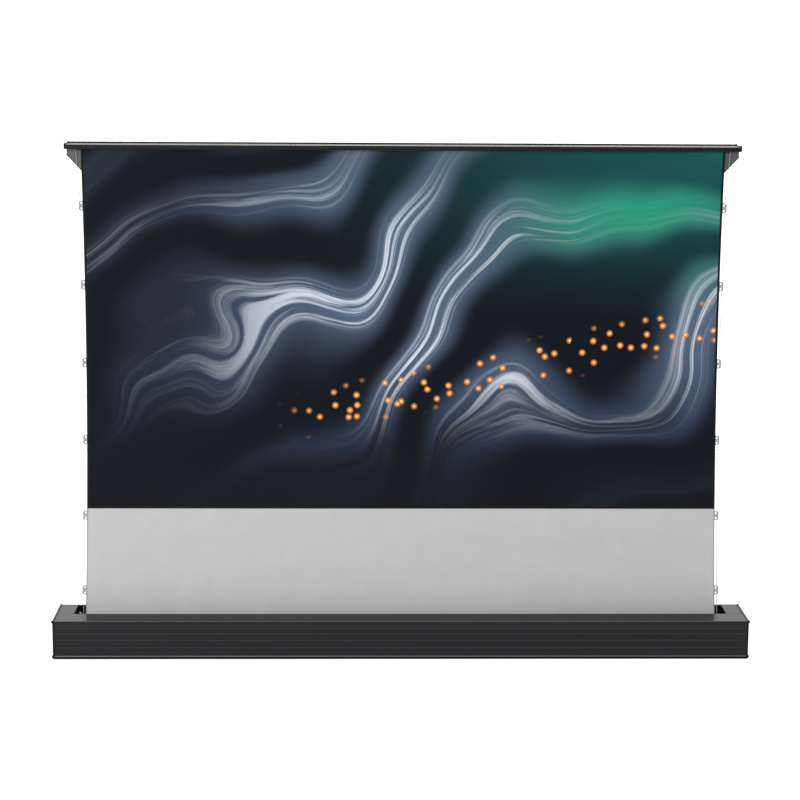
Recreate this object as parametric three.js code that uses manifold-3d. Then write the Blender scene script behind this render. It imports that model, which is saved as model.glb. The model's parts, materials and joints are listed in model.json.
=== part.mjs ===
// Floor-rising projection screen: a long low case, a tab-tensioned fabric that rises out of the
// slot in its top, and a lid that carries the fabric, pushed up by two elbow arms behind it.
// Millimetres, +Z up, +X along the case, the viewer stands at -Y. The model stands raised.
import * as THREE from "three";
import { mergeVertices } from "three/addons/utils/BufferGeometryUtils.js";
import Module from "manifold-3d";

const wasm = await Module();
wasm.setup();

// Case
const caseLength = 2460; // over both end plates
const frontStripDepth = 92; // front face to the slot's front edge
const slotDepth = 111;
const rearStripDepth = 12;
const caseHeight = 140; // floor to the top strip
const slotEndLength = 64.3; // end plate's outer face to the slot's end
const frontWall = 3.2;
const shellWall = 2.4;
const shellFlange = 34; // inward flange along the bottom
const lipDepth = 9; // turned-down edge along the slot
const topEdgeBevel = 1.2;
const grooveDepth = 1.6;
const grooveHeight = 3.2;
const grooveHeightShares = [0.089, 0.314, 0.507, 0.679, 0.821, 0.886]; // of the case height
const rearGrooveShares = [0.25, 0.75]; // of the case height
const floorPlateThickness = 2.5;
const footHeight = 3;
const footRadius = 13;
const footInset = 160; // foot's centre from the end plate
const endPlateThickness = 4.4;
const endPlateRim = 1.6; // rim that stands out at the top and bottom edge
const endPlateRimHeight = 11;
const endPlateProud = 1.6; // beyond the profiles, all round
const endPlateCorner = 4;
const endPlateSpigot = 5; // part that enters the profiles
const slotCoverSkirt = 13;
const slotCoverEndSkirt = 38;

// Fits
const seatGap = 0.3; // between pieces that rest on each other
const runGap = 0.4; // round a pin or shaft that turns
const sideGap = 1.5; // beside a knuckle in its bracket
const overrun = 5; // cutting tools past the faces they cut

// Fabric
const fabricThickness = 0.5;
const fabricSetback = 7.5; // slot's front edge to the fabric
const fabricEndGap = 41.7; // slot's end to the fabric's edge, at the slot
const edgeBow = 24.4; // how far the tabs draw the waist in
const waistShare = 0.69; // waist's place in the free height of the fabric
const pictureHeight = 1258; // with its black edging
const apronRise = 388.26; // case top to the picture's lower edge
const weldGap = 0.2; // between the picture fabric and the apron
const edgeSteps = 20;
const bendShares = [0, 0.25, 0.5, 0.75, 1]; // of the turn over the guide bar
const leadTieShares = [0.25, 0.5]; // of the way from the roller to the guide bar

// Tabs and cords
const tabCount = 6;
const firstTabShare = 0.0553; // of the fabric's height over the case
const tabPitchShare = 0.166;
const tabRootHeight = 43;
const tabTipHeight = 22;
const tabReach = 14;
const tabThickness = 1.2;
const tabBarrelRadius = 2.6;
const tabWindowHeight = 7;
const tabWindowWidth = 6.6;
const tabWindowRise = 10.5; // window's centre from the tab's centre
const tapeWidth = 20;
const tapeThickness = 0.6;
const cordRadius = 1.1;
const cordOffset = 8; // outside the fabric's edge
const cordBoreRadius = 1.7;
const cordTopInset = 41.5; // slot's end to the cord's upper anchor
const cordSteps = 28;
const cordSides = 8;
const boreSides = 6;

// Faces round turned pieces
const turnedSides = 28;
const pinSides = 20;
const rodSides = 12;
const cornerSides = 3; // in a quarter turn

// Roller and its drive
const rollerRadius = 25;
const rollerWall = 1.5;
const rollerSetback = 45.5; // case front to the roller's axis
const rollerRise = 62; // floor to the roller's axis
const rollerEndGap = 22.5; // slot's end to the tube's end
const woundThickness = 2.6; // turns that stay on the raised screen's roller
const bracketThickness = 3;
const bracketEndGap = 5.5; // slot's end to the bracket's outer face
const bracketHalfWidth = 34;
const bracketCrown = 30; // roller's axis to the bracket's top
const bracketFoot = 22;
const guideRadius = 6;
const guideJournalRadius = 4.6; // the bar's turned-down ends
const guideJournalGap = 2; // fabric's edge to the step
const guideDrop = 32; // case top to the guide bar's axis
const guideEar = 10;
const guideEarTurn = 1.885; // radians that the bracket goes round the guide bar
const motorRadius = 20;
const motorLength = 440;
const motorHeadRadius = 24;
const motorHeadLength = 12;
const motorCollarLength = 16;
const crownLength = 20;
const idleFlangeLength = 3.5;
const idlePlugLength = 30;
const pinRadius = 6;
const pinHeadRadius = 9;
const pinHeadLength = 2.4;
const cordGuideWidth = 16;
const cordGuideHeight = 14;
const cordGuideWall = 2.2;

// Lid
const lidThickness = 15.7;
const lidEndGap = 2.2;
const lidSideGap = 2.4;
const lidWall = 2;
const lidRidge = 2; // upstand along the rear edge
const lidRidgeWidth = 3;
const lidCapThickness = 4;
const lidCapProud = 2.8; // over the lid's top
const lidCapSide = 1;
const hemChannelWidth = 8;
const hemChannelHeight = 7;
const hemSlit = 2;
const hemRodRadius = 2.3;

// Elbow arms
const elbowInset = 423; // how far each elbow stands inboard of its pivots when raised
const pivotInset = 65.7; // slot's end to the base and top pivots
const basePivotRise = 40; // floor to the base pivot
const topPivotDrop = 45; // lid's underside to the top pivot
const armTubeHeight = 36;
const armTubeDepth = 22;
const armTubeWall = 2;
const armTubeCorner = 5;
const knuckleRadius = 20;
const elbowRadius = 23;
const knuckleReach = 46; // pivot to the tube's end
const spigotLength = 30;
const collarRadius = 12;
const gussetSetback = 4.5; // fabric's middle to the gusset's face
const gussetThickness = 3;
const gussetEndInset = 12.7; // slot's end to the gusset's outer edge
const gussetEdgeHeight = 22;
const gussetDrop = 78;
const gussetFootWidth = 40;
const gussetInnerSlope = 70;
const hangerHalfWidth = 26;
const hangerFoot = 17; // half width round the top pivot
const bracketGap = 3; // between the lid's hanger and the base bracket, side by side
const upperArmGap = 3; // between the gusset and the upper arm
const baseBracketThickness = 3.5;
const baseBracketHalfWidth = 34;
const baseBracketTop = 18; // base pivot to the bracket's top
const drumRadius = 22;
const drumLength = 19;
const drumRecess = 3;
const drumRim = 3;

// Electrics
const controlBoxLength = 180;
const controlBoxDepth = 26;
const controlBoxHeight = 46;
const controlBoxOffset = 500; // left of the middle
const controlBoxRib = 3;
const controlBoxLid = 8;
const inletWidth = 30;
const inletHeight = 24;
const inletDepth = 22;
const inletFlange = 4;
const inletFlangeThickness = 1.4;
const inletWellWall = 3;
const inletWellDepth = 15;
const inletInset = 110; // from the case's end
const inletRise = 48;
const contactWidth = 2.5;
const contactHeight = 6;
const contactLength = 9;
const contactShares = [-0.3, 0, 0.3]; // of the well's width
const switchLength = 17;
const switchDepth = 14;
const switchHeight = 13;
const switchDrop = 20; // case top to the switch's top
const switchSetback = 29; // slot's rear edge to the switch's middle
const switchLever = 1.5;

// Places worked out from the sizes
const frontY = -(frontStripDepth + slotDepth + rearStripDepth) / 2;
const slotFrontY = frontY + frontStripDepth;
const slotRearY = slotFrontY + slotDepth;
const rearY = slotRearY + rearStripDepth;
const endPlateDepth = endPlateThickness + endPlateRim;
const shellHalf = caseLength / 2 - endPlateDepth;
const slotHalf = caseLength / 2 - slotEndLength;
const shellBottom = footHeight;
const floorPlateBottom = shellBottom + shellWall + seatGap;
const floorTop = floorPlateBottom + floorPlateThickness;
const pivotX = slotHalf - pivotInset;
const pictureBottom = caseHeight + apronRise;
const lidBottom = pictureBottom + pictureHeight;
const topPivotZ = lidBottom - topPivotDrop;
const armRise = (topPivotZ - basePivotRise) / 2;
const armAngle = Math.atan2(armRise, elbowInset);
const armLength = Math.hypot(armRise, elbowInset); // pivot to pivot
const lidTop = lidBottom + lidThickness;
const lidHalf = slotHalf - lidEndGap;
const lidFrontY = slotFrontY + lidSideGap;
const lidRearY = slotRearY - lidSideGap;
const fabricY = slotFrontY + fabricSetback;
const guideY = fabricY - fabricThickness / 2 - seatGap - guideRadius;
const guideZ = caseHeight - guideDrop;
const leadTop = guideZ + guideRadius;
const rollerY = frontY + rollerSetback;
const gussetY = fabricY + gussetSetback;
const upperArmY = gussetY + gussetThickness + upperArmGap + armTubeDepth / 2;
const hangerY = upperArmY + armTubeDepth / 2 + sideGap;
const baseBracketY = hangerY + gussetThickness + bracketGap;
const lowerArmY = baseBracketY + baseBracketThickness + sideGap + armTubeDepth / 2;
const baseRearY = lowerArmY + armTubeDepth / 2 + sideGap;

const finishes = {
  satinBlack: { color: 0x1c1c1e, roughness: 0.35, metalness: 0.2 },
  mouldedBlack: { color: 0x0c0c0d, roughness: 0.6, metalness: 0 },
  zincSteel: { color: 0x9a9da0, roughness: 0.45, metalness: 0.9 },
  greySteel: { color: 0x6b6d6f, roughness: 0.5, metalness: 0.4 },
  armBlack: { color: 0x202124, roughness: 0.45, metalness: 0.5 },
  castAlloy: { color: 0x55585b, roughness: 0.5, metalness: 0.8 },
  brightAlloy: { color: 0xb4b7ba, roughness: 0.4, metalness: 0.9 },
  whiteNylon: { color: 0xe9e8e2, roughness: 0.55, metalness: 0 },
  clearTab: { color: 0xd9dcdd, roughness: 0.3, metalness: 0 },
  cordGrey: { color: 0xb8b8b6, roughness: 0.8, metalness: 0 },
  pictureFabric: { color: 0x16202c, roughness: 0.9, metalness: 0 },
  apronFabric: { color: 0xbdbdbd, roughness: 0.9, metalness: 0 },
  footRubber: { color: 0x141414, roughness: 0.9, metalness: 0 },
};

// A geometry with shared vertices, no empty triangles and its faces pointing out.
function closed(source) {
  const bare = source.clone();
  bare.deleteAttribute("normal");
  bare.deleteAttribute("uv");
  const merged = mergeVertices(bare, 1e-4);
  const place = merged.attributes.position;
  const [a, b, c] = [new THREE.Vector3(), new THREE.Vector3(), new THREE.Vector3()];
  const kept = [];
  let volume = 0;
  for (let i = 0; i < merged.index.count; i += 3) {
    const corner = [0, 1, 2].map((k) => merged.index.getX(i + k));
    if (new Set(corner).size < 3) continue;
    [a, b, c].forEach((v, k) => v.fromBufferAttribute(place, corner[k]));
    volume += a.dot(b.cross(c));
    kept.push(corner);
  }
  const faces = volume < 0 ? kept.map(([i, j, k]) => [i, k, j]) : kept;
  merged.setIndex(faces.flat());
  return merged;
}

function solidOf(geometry) {
  const g = closed(geometry);
  return new wasm.Manifold(
    new wasm.Mesh({
      numProp: 3,
      vertProperties: g.attributes.position.array,
      triVerts: new Uint32Array(g.index.array),
    }),
  );
}

function geometryOf(solid) {
  const mesh = solid.getMesh();
  return new THREE.BufferGeometry()
    .setAttribute("position", new THREE.BufferAttribute(mesh.vertProperties, 3))
    .setIndex(new THREE.BufferAttribute(mesh.triVerts, 1));
}

const fuse = (...pieces) => geometryOf(pieces.map(solidOf).reduce((a, b) => a.add(b)));
const cut = (piece, ...tools) =>
  geometryOf(tools.map(solidOf).reduce((a, b) => a.subtract(b), solidOf(piece)));

const outline = (points) => new THREE.Shape(points.map(([a, b]) => new THREE.Vector2(a, b)));

// Prisms of an outline: (y, z) points along X, (x, z) points along Y, (x, y) points along Z.
function prism(shape, depth) {
  return new THREE.ExtrudeGeometry(shape, { depth, bevelEnabled: false, curveSegments: cornerSides });
}

function alongX(shape, from, to) {
  const turn = new THREE.Matrix4().makeBasis(
    new THREE.Vector3(0, 1, 0),
    new THREE.Vector3(0, 0, 1),
    new THREE.Vector3(1, 0, 0),
  );
  return closed(prism(shape, to - from).applyMatrix4(turn).translate(from, 0, 0));
}

function alongY(shape, from, to) {
  const turn = new THREE.Matrix4().makeBasis(
    new THREE.Vector3(1, 0, 0),
    new THREE.Vector3(0, 0, 1),
    new THREE.Vector3(0, -1, 0),
  );
  return closed(prism(shape, to - from).applyMatrix4(turn).translate(0, to, 0));
}

function box(low, high) {
  const size = high.map((v, i) => v - low[i]);
  const middle = high.map((v, i) => (v + low[i]) / 2);
  return new THREE.BoxGeometry(...size).translate(...middle);
}

// A body of revolution from (radius, place) points; turned to lie along X or Y.
function turnedX(points, segments = turnedSides) {
  const profile = points.map(([r, s]) => new THREE.Vector2(r, s));
  return closed(new THREE.LatheGeometry(profile, segments).rotateZ(-Math.PI / 2));
}

function turnedY(points, segments = turnedSides) {
  const profile = points.map(([r, s]) => new THREE.Vector2(r, s));
  return closed(new THREE.LatheGeometry(profile, segments));
}

function turnedZ(points, segments = turnedSides) {
  const profile = points.map(([r, s]) => new THREE.Vector2(r, s));
  return closed(new THREE.LatheGeometry(profile, segments).rotateX(Math.PI / 2));
}

const rod = (radius, from, to) => [[0, from], [radius, from], [radius, to], [0, to]];
const ring = (inner, outer, from, to) => [
  [inner, from], [outer, from], [outer, to], [inner, to], [inner, from],
];

function roundedRectangle(a0, b0, a1, b1, corner) {
  const s = new THREE.Shape();
  s.moveTo(a0 + corner, b0);
  s.lineTo(a1 - corner, b0);
  s.absarc(a1 - corner, b0 + corner, corner, -Math.PI / 2, 0);
  s.lineTo(a1, b1 - corner);
  s.absarc(a1 - corner, b1 - corner, corner, 0, Math.PI / 2);
  s.lineTo(a0 + corner, b1);
  s.absarc(a0 + corner, b1 - corner, corner, Math.PI / 2, Math.PI);
  s.lineTo(a0, b0 + corner);
  s.absarc(a0 + corner, b0 + corner, corner, Math.PI, 1.5 * Math.PI);
  return s;
}

const screen = new THREE.Group();

function piece(name, geometry, finish, parent = screen) {
  const mesh = new THREE.Mesh(geometry, new THREE.MeshStandardMaterial(finishes[finish]));
  mesh.name = name;
  parent.add(mesh);
  return mesh;
}

// Runs a maker for the left end (-1) and the right end (1).
const bothEnds = (make) => [["left", -1], ["right", 1]].forEach(([end, way]) => make(end, way));

// Low and high X of a span that lies from a to b outward from the middle, on one end.
const span = (way, a, b) => (way > 0 ? [a, b] : [-b, -a]);

function buildCase() {
  // Up a face at wallY, with a groove under each ledge; inward is the way into the wall.
  const groovedFace = (wallY, inward, shares) =>
    shares.flatMap((share) => {
      const z = caseHeight * share;
      return [
        [wallY, z - grooveHeight / 2],
        [wallY + inward * grooveDepth, z + grooveHeight / 2],
        [wallY, z + grooveHeight / 2],
      ];
    });
  const profile = (outerY, inward, wall, slotY, shares) => [
    [outerY + inward * shellFlange, shellBottom],
    [outerY, shellBottom],
    ...groovedFace(outerY, inward, shares),
    [outerY, caseHeight - topEdgeBevel],
    [outerY + inward * topEdgeBevel, caseHeight],
    [slotY, caseHeight],
    [slotY, caseHeight - lipDepth],
    [slotY - inward * shellWall, caseHeight - lipDepth],
    [slotY - inward * shellWall, caseHeight - shellWall],
    [outerY + inward * wall, caseHeight - shellWall],
    [outerY + inward * wall, shellBottom + shellWall],
    [outerY + inward * shellFlange, shellBottom + shellWall],
  ];
  const front = profile(frontY, 1, frontWall, slotFrontY, grooveHeightShares);
  piece("case_front_profile", alongX(outline(front), -shellHalf, shellHalf), "satinBlack");

  const rear = profile(rearY, -1, frontWall, slotRearY, rearGrooveShares);
  const inletX = -(shellHalf - inletInset);
  const inletHole = box(
    [inletX - inletWidth / 2 - seatGap, rearY - shellFlange, inletRise - inletHeight / 2 - seatGap],
    [inletX + inletWidth / 2 + seatGap, rearY + overrun, inletRise + inletHeight / 2 + seatGap],
  );
  const rearSolid = cut(alongX(outline(rear), -shellHalf, shellHalf), inletHole);
  piece("case_rear_profile", rearSolid, "satinBlack");

  const plate = box(
    [-shellHalf, frontY + frontWall + seatGap, floorPlateBottom],
    [shellHalf, rearY - frontWall - seatGap, floorTop],
  );
  piece("case_floor_plate", plate, "zincSteel");

  bothEnds((end, way) => {
    const face = roundedRectangle(
      frontY - endPlateProud, shellBottom - endPlateProud,
      rearY + endPlateProud, caseHeight + endPlateProud, endPlateCorner,
    );
    const body = alongX(face, ...span(way, shellHalf, shellHalf + endPlateDepth));
    const [r0, r1] = span(way, shellHalf + endPlateThickness, shellHalf + endPlateDepth + overrun);
    const plateBottom = shellBottom - endPlateProud;
    const plateTop = caseHeight + endPlateProud;
    const field = box(
      [r0, frontY - overrun - endPlateProud, plateBottom + endPlateRimHeight],
      [r1, rearY + overrun + endPlateProud, plateTop - endPlateRimHeight],
    );
    const [x0, x1] = span(way, shellHalf - endPlateSpigot, shellHalf);
    const spigot = box(
      [x0, frontY + frontWall + seatGap, floorTop + seatGap],
      [x1, rearY - frontWall - seatGap, caseHeight - shellWall - slotCoverSkirt],
    );
    piece(`case_end_plate_${end}`, fuse(cut(body, field), spigot), "mouldedBlack");

    for (const [side, y] of [["front", frontY], ["rear", rearY]]) {
      const inward = Math.sign(-y) * shellFlange / 2;
      const foot = turnedZ(rod(footRadius, 0, footHeight), pinSides);
      foot.translate(way * (shellHalf - footInset), y + inward, 0);
      piece(`foot_${side}_${end}`, foot, "footRubber");
    }

    // Plate over the slot's end, an open-ended tray with a deep skirt towards the slot.
    const y0 = slotFrontY + seatGap;
    const y1 = slotRearY - seatGap;
    const [t0, t1] = span(way, slotHalf, shellHalf - seatGap);
    const [h0, h1] = span(way, slotHalf + shellWall, shellHalf + overrun);
    const tray = box([t0, y0, caseHeight - slotCoverSkirt], [t1, y1, caseHeight]);
    const hollow = box(
      [h0, y0 + shellWall, caseHeight - slotCoverSkirt - overrun],
      [h1, y1 - shellWall, caseHeight - shellWall],
    );
    const [s0, s1] = span(way, slotHalf, slotHalf + shellWall);
    const skirt = box([s0, y0 + lipDepth, caseHeight - slotCoverEndSkirt], [s1, y1 - lipDepth, caseHeight]);
    piece(`slot_end_cover_${end}`, fuse(cut(tray, hollow), skirt), "satinBlack");
  });
}

function buildRoller() {
  const tubeHalf = slotHalf - rollerEndGap;
  const onAxis = (geometry) => geometry.translate(0, rollerY, rollerRise);
  const tube = turnedX(ring(rollerRadius - rollerWall, rollerRadius, -tubeHalf, tubeHalf));
  piece("roller_tube", onAxis(tube), "brightAlloy");
  const woundInner = rollerRadius + seatGap;
  const woundOuter = woundInner + woundThickness;
  const woundHalf = slotHalf - fabricEndGap;
  const wound = turnedX(ring(woundInner, woundOuter, -woundHalf, woundHalf));
  piece("wound_fabric", onAxis(wound), "apronFabric");

  // Motor at the left end: head outside the tube, collar and body inside it.
  const boreRadius = rollerRadius - rollerWall - runGap;
  const headStart = -(slotHalf - bracketEndGap - bracketThickness) + seatGap;
  const headEnd = headStart + motorHeadLength;
  const motorEnd = headEnd + motorLength;
  const motor = turnedX([
    [0, headStart], [motorHeadRadius, headStart], [motorHeadRadius, headEnd],
    [boreRadius, headEnd], [boreRadius, headEnd + motorCollarLength],
    [motorRadius, headEnd + motorCollarLength], [motorRadius, motorEnd], [0, motorEnd],
  ]);
  piece("tubular_motor", onAxis(motor), "greySteel");
  const crown = turnedX(
    ring(motorRadius + seatGap, boreRadius, motorEnd - crownLength, motorEnd),
  );
  piece("drive_crown", onAxis(crown), "mouldedBlack");

  const plug = turnedX([
    [pinRadius + runGap, tubeHalf - idlePlugLength], [boreRadius, tubeHalf - idlePlugLength],
    [boreRadius, tubeHalf + seatGap], [rollerRadius, tubeHalf + seatGap],
    [rollerRadius, tubeHalf + seatGap + idleFlangeLength],
    [pinRadius + runGap, tubeHalf + seatGap + idleFlangeLength],
    [pinRadius + runGap, tubeHalf - idlePlugLength],
  ]);
  piece("roller_idle_plug", onAxis(plug), "mouldedBlack");
  const plateInner = slotHalf - bracketEndGap - bracketThickness;
  const plateOuter = slotHalf - bracketEndGap;
  const collarStart = tubeHalf + seatGap + idleFlangeLength + seatGap;
  const idlePin = turnedX([
    [0, tubeHalf - idlePlugLength], [pinRadius, tubeHalf - idlePlugLength],
    [pinRadius, collarStart], [pinHeadRadius, collarStart],
    [pinHeadRadius, plateInner - seatGap], [pinRadius, plateInner - seatGap],
    [pinRadius, plateOuter + pinHeadLength], [0, plateOuter + pinHeadLength],
  ], pinSides);
  piece("roller_idle_pin", onAxis(idlePin), "zincSteel");

  bothEnds((end, way) => {
    const side = new THREE.Shape();
    side.moveTo(rollerY - bracketHalfWidth, floorTop + seatGap);
    side.lineTo(rollerY + bracketHalfWidth, floorTop + seatGap);
    side.lineTo(guideY + guideEar, guideZ);
    side.absarc(guideY, guideZ, guideEar, 0, guideEarTurn);
    side.lineTo(rollerY, rollerRise + bracketCrown);
    side.lineTo(rollerY - bracketHalfWidth, rollerRise);
    const plate = alongX(side, ...span(way, plateInner, plateOuter));
    const [f0, f1] = span(way, plateInner, plateOuter + bracketFoot);
    const foot = box(
      [f0, rollerY - bracketHalfWidth, floorTop + seatGap],
      [f1, rollerY + bracketHalfWidth, floorTop + seatGap + bracketThickness],
    );
    const [b0, b1] = span(way, plateInner - overrun, plateOuter + overrun);
    const pinBore = onAxis(turnedX(rod(pinRadius + seatGap, b0, b1), pinSides));
    const barBore = turnedX(rod(guideJournalRadius + seatGap, b0, b1), pinSides).translate(0, guideY, guideZ);
    const bores = way > 0 ? [pinBore, barBore] : [barBore];
    piece(`roller_bracket_${end}`, cut(fuse(plate, foot), ...bores), "zincSteel");

    // Nylon block on the guide bar's end, with the cord's bore behind the bar.
    const cordX = way * cordHalf(leadTop);
    const [g0, g1] = span(way, woundHalf + guideJournalGap + seatGap, Math.abs(cordX) + cordGuideWidth / 2);
    const block = box(
      [g0, guideY - guideJournalRadius - cordGuideWall, guideZ - cordGuideHeight / 2],
      [g1, fabricY + cordRadius + cordGuideWall, guideZ + cordGuideHeight / 2],
    );
    const barHole = turnedX(
      rod(guideJournalRadius + seatGap, cordX - cordGuideWidth, cordX + cordGuideWidth), pinSides,
    ).translate(0, guideY, guideZ);
    const cordWay = alongX(
      outline(leadOutline(cordBoreRadius * 2 + fabricThickness, cordGuideHeight)),
      cordX - cordBoreRadius, cordX + cordBoreRadius,
    );
    piece(`cord_guide_${end}`, cut(block, barHole, cordWay), "whiteNylon");
  });

  const journal = woundHalf + guideJournalGap;
  const bar = turnedX([
    [0, -plateOuter], [guideJournalRadius, -plateOuter], [guideJournalRadius, -journal],
    [guideRadius, -journal], [guideRadius, journal], [guideJournalRadius, journal],
    [guideJournalRadius, plateOuter], [0, plateOuter],
  ], pinSides);
  piece("fabric_guide_bar", bar.translate(0, guideY, guideZ), "brightAlloy");

  // The lead: fabric from the roller over the guide bar, with the cord's last stretch on each side.
  const sheet = alongX(outline(leadOutline(fabricThickness, 0)), -woundHalf, woundHalf);
  const parts = [sheet];
  bothEnds((end, way) => {
    const cordX = way * cordHalf(leadTop);
    const [w0, w1] = span(way, woundHalf - overrun, Math.abs(cordX));
    const cordStub = outline(leadOutline(cordRadius * 2, 0));
    parts.push(alongX(cordStub, cordX - cordRadius, cordX + cordRadius));
    parts.push(alongX(outline(leadTie(fabricThickness)), w0, w1));
  });
  piece("fabric_lead", fuse(...parts), "apronFabric");
}

// Where the lead leaves the roller and where it bends over the guide bar.
function leadPath() {
  const reach = new THREE.Vector2(guideY - rollerY, guideZ - rollerRise);
  const middle = fabricThickness / 2 + seatGap;
  const rollerR = rollerRadius + 2 * seatGap + woundThickness + fabricThickness / 2;
  const guideR = guideRadius + middle;
  const lean = Math.asin((rollerR - guideR) / reach.length());
  const normal = Math.atan2(reach.y, reach.x) - Math.PI / 2 + lean;
  const start = new THREE.Vector2(rollerY, rollerRise)
    .add(new THREE.Vector2(Math.cos(normal), Math.sin(normal)).multiplyScalar(rollerR));
  const bend = bendShares.map((share) => {
    const angle = normal * (1 - share);
    return { angle, at: new THREE.Vector2(guideY, guideZ), radius: guideR };
  });
  return { start, normal, bend };
}

// The lead's section: a band of the given thickness along its path, longer by extra at the top.
function leadOutline(thickness, extra) {
  const { start, normal, bend } = leadPath();
  const side = (offset) => [
    [start.x + Math.cos(normal) * offset, start.y + Math.sin(normal) * offset],
    ...bend.map(({ angle, at, radius }) => [
      at.x + Math.cos(angle) * (radius + offset),
      at.y + Math.sin(angle) * (radius + offset),
    ]),
    [guideY + bend[0].radius + offset, leadTop + extra],
  ];
  return [...side(thickness / 2), ...side(-thickness / 2).reverse()];
}

// A tie between the lead and its cord, on the straight stretch from the roller to the guide bar.
function leadTie(thickness) {
  const { start, normal, bend } = leadPath();
  const end = new THREE.Vector2(
    bend[0].at.x + Math.cos(normal) * bend[0].radius,
    bend[0].at.y + Math.sin(normal) * bend[0].radius,
  );
  const [from, to] = leadTieShares.map((share) => start.clone().lerp(end, share));
  const out = new THREE.Vector2(Math.cos(normal), Math.sin(normal)).multiplyScalar(thickness / 2);
  return [
    [from.x + out.x, from.y + out.y],
    [to.x + out.x, to.y + out.y],
    [to.x - out.x, to.y - out.y],
    [from.x - out.x, from.y - out.y],
  ];
}

// Half width of the tensioned fabric at a height: a parabola drawn in by the tabs.
function fabricHalf(z) {
  const slotLine = slotHalf - fabricEndGap;
  const waistZ = caseHeight + (lidBottom - caseHeight) * waistShare;
  const away = (z - waistZ) / (waistZ - caseHeight);
  return slotLine - edgeBow * (1 - away * away);
}

// Place of the cord at a height: beside the fabric's edge, and straight from the top tab to the lid.
function cordHalf(z) {
  const topTab = tabHeights().at(-1) + tabRootHeight / 2;
  if (z <= topTab) return fabricHalf(z) + cordOffset;
  const share = (z - topTab) / (lidBottom - topTab);
  const anchor = slotHalf - cordTopInset;
  return (fabricHalf(topTab) + cordOffset) * (1 - share) + anchor * share;
}

function tabHeights() {
  const rise = lidBottom - caseHeight;
  return Array.from({ length: tabCount }, (_, i) => caseHeight + rise * (firstTabShare + i * tabPitchShare));
}

class CordLine extends THREE.Curve {
  constructor(way, from, to) {
    super();
    Object.assign(this, { way, from, to });
  }

  getPoint(t, target = new THREE.Vector3()) {
    const z = this.from + (this.to - this.from) * t;
    return target.set(this.way * cordHalf(z), fabricY, z);
  }
}

function cordTube(way, radius, from, to, steps, sides = cordSides) {
  const section = new THREE.Shape();
  for (let i = 0; i < sides; i += 1) {
    const angle = (2 * Math.PI * i) / sides;
    const point = [radius * Math.cos(angle), radius * Math.sin(angle)];
    if (i === 0) section.moveTo(...point);
    else section.lineTo(...point);
  }
  section.closePath();
  const extrudePath = new CordLine(way, from, to);
  return closed(new THREE.ExtrudeGeometry(section, { steps, extrudePath, bevelEnabled: false }));
}

// A panel of the fabric between two heights, with bowed edges moved in by inset.
function fabricPanel(from, to, steps) {
  const heights = Array.from({ length: steps + 1 }, (_, i) => from + ((to - from) * i) / steps);
  const right = heights.map((z) => [fabricHalf(z), z]);
  const left = heights.map((z) => [-fabricHalf(z), z]).reverse();
  return alongY(outline([...right, ...left]), fabricY - fabricThickness / 2, fabricY + fabricThickness / 2);
}

function buildFabric() {
  const hemZ = lidBottom + lidWall + hemChannelHeight / 2 - hemRodRadius - seatGap;
  piece("projection_surface", fabricPanel(pictureBottom, hemZ, edgeSteps), "pictureFabric");
  const apron = fabricPanel(leadTop + seatGap, pictureBottom - weldGap, edgeSteps / 2);
  piece("fabric_apron", apron, "apronFabric");

  bothEnds((end, way) => {
    const bottom = leadTop + seatGap;
    const top = lidBottom - seatGap;
    const step = (top - bottom) / edgeSteps;
    const heights = Array.from({ length: edgeSteps + 1 }, (_, i) => bottom + step * i);
    const tapeY = fabricY + fabricThickness / 2 + seatGap;
    const outer = heights.map((z) => [way * fabricHalf(z), z]);
    const inner = heights.map((z) => [way * (fabricHalf(z) - tapeWidth), z]).reverse();
    const tape = alongY(outline([...outer, ...inner]), tapeY, tapeY + tapeThickness);
    const tabs = tabHeights().flatMap((z) => {
      const edge = fabricHalf(z);
      const root = edge - tapeWidth / 2;
      const plate = outline([
        [way * root, z - tabRootHeight / 2], [way * edge, z - tabRootHeight / 2],
        [way * (edge + tabReach), z - tabTipHeight / 2], [way * (edge + tabReach), z + tabTipHeight / 2],
        [way * edge, z + tabRootHeight / 2], [way * root, z + tabRootHeight / 2],
      ]);
      const [low, high] = [z - tabRootHeight / 3, z + tabRootHeight / 3];
      const barrel = cordTube(way, tabBarrelRadius, low, high, 1, boreSides);
      return [alongY(plate, tapeY, tapeY + tabThickness), barrel];
    });
    const openings = tabHeights().flatMap((z) => {
      const edge = cordHalf(z);
      const window = (side) => {
        const [x0, x1] = span(way, edge - tabWindowWidth / 2, edge + tabWindowWidth / 2);
        const middle = z + side * tabWindowRise;
        return box(
          [x0, fabricY - overrun, middle - tabWindowHeight / 2],
          [x1, fabricY + overrun, middle + tabWindowHeight / 2],
        );
      };
      return [window(-1), window(1)];
    });
    const bore = cordTube(way, cordBoreRadius, bottom, top, cordSteps, boreSides);
    piece(`tab_strip_${end}`, largest(cut(fuse(tape, ...tabs), bore, ...openings)), "clearTab");
    const cord = cordTube(way, cordRadius, bottom, top, cordSteps);
    piece(`tension_cord_${end}`, cord, "cordGrey");
  });
}

// The largest body of a cut piece: slivers of a barrel that the windows set free are dropped.
function largest(geometry) {
  const bodies = solidOf(geometry).decompose();
  return geometryOf(bodies.reduce((a, b) => (a.volume() > b.volume() ? a : b)));
}

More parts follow.
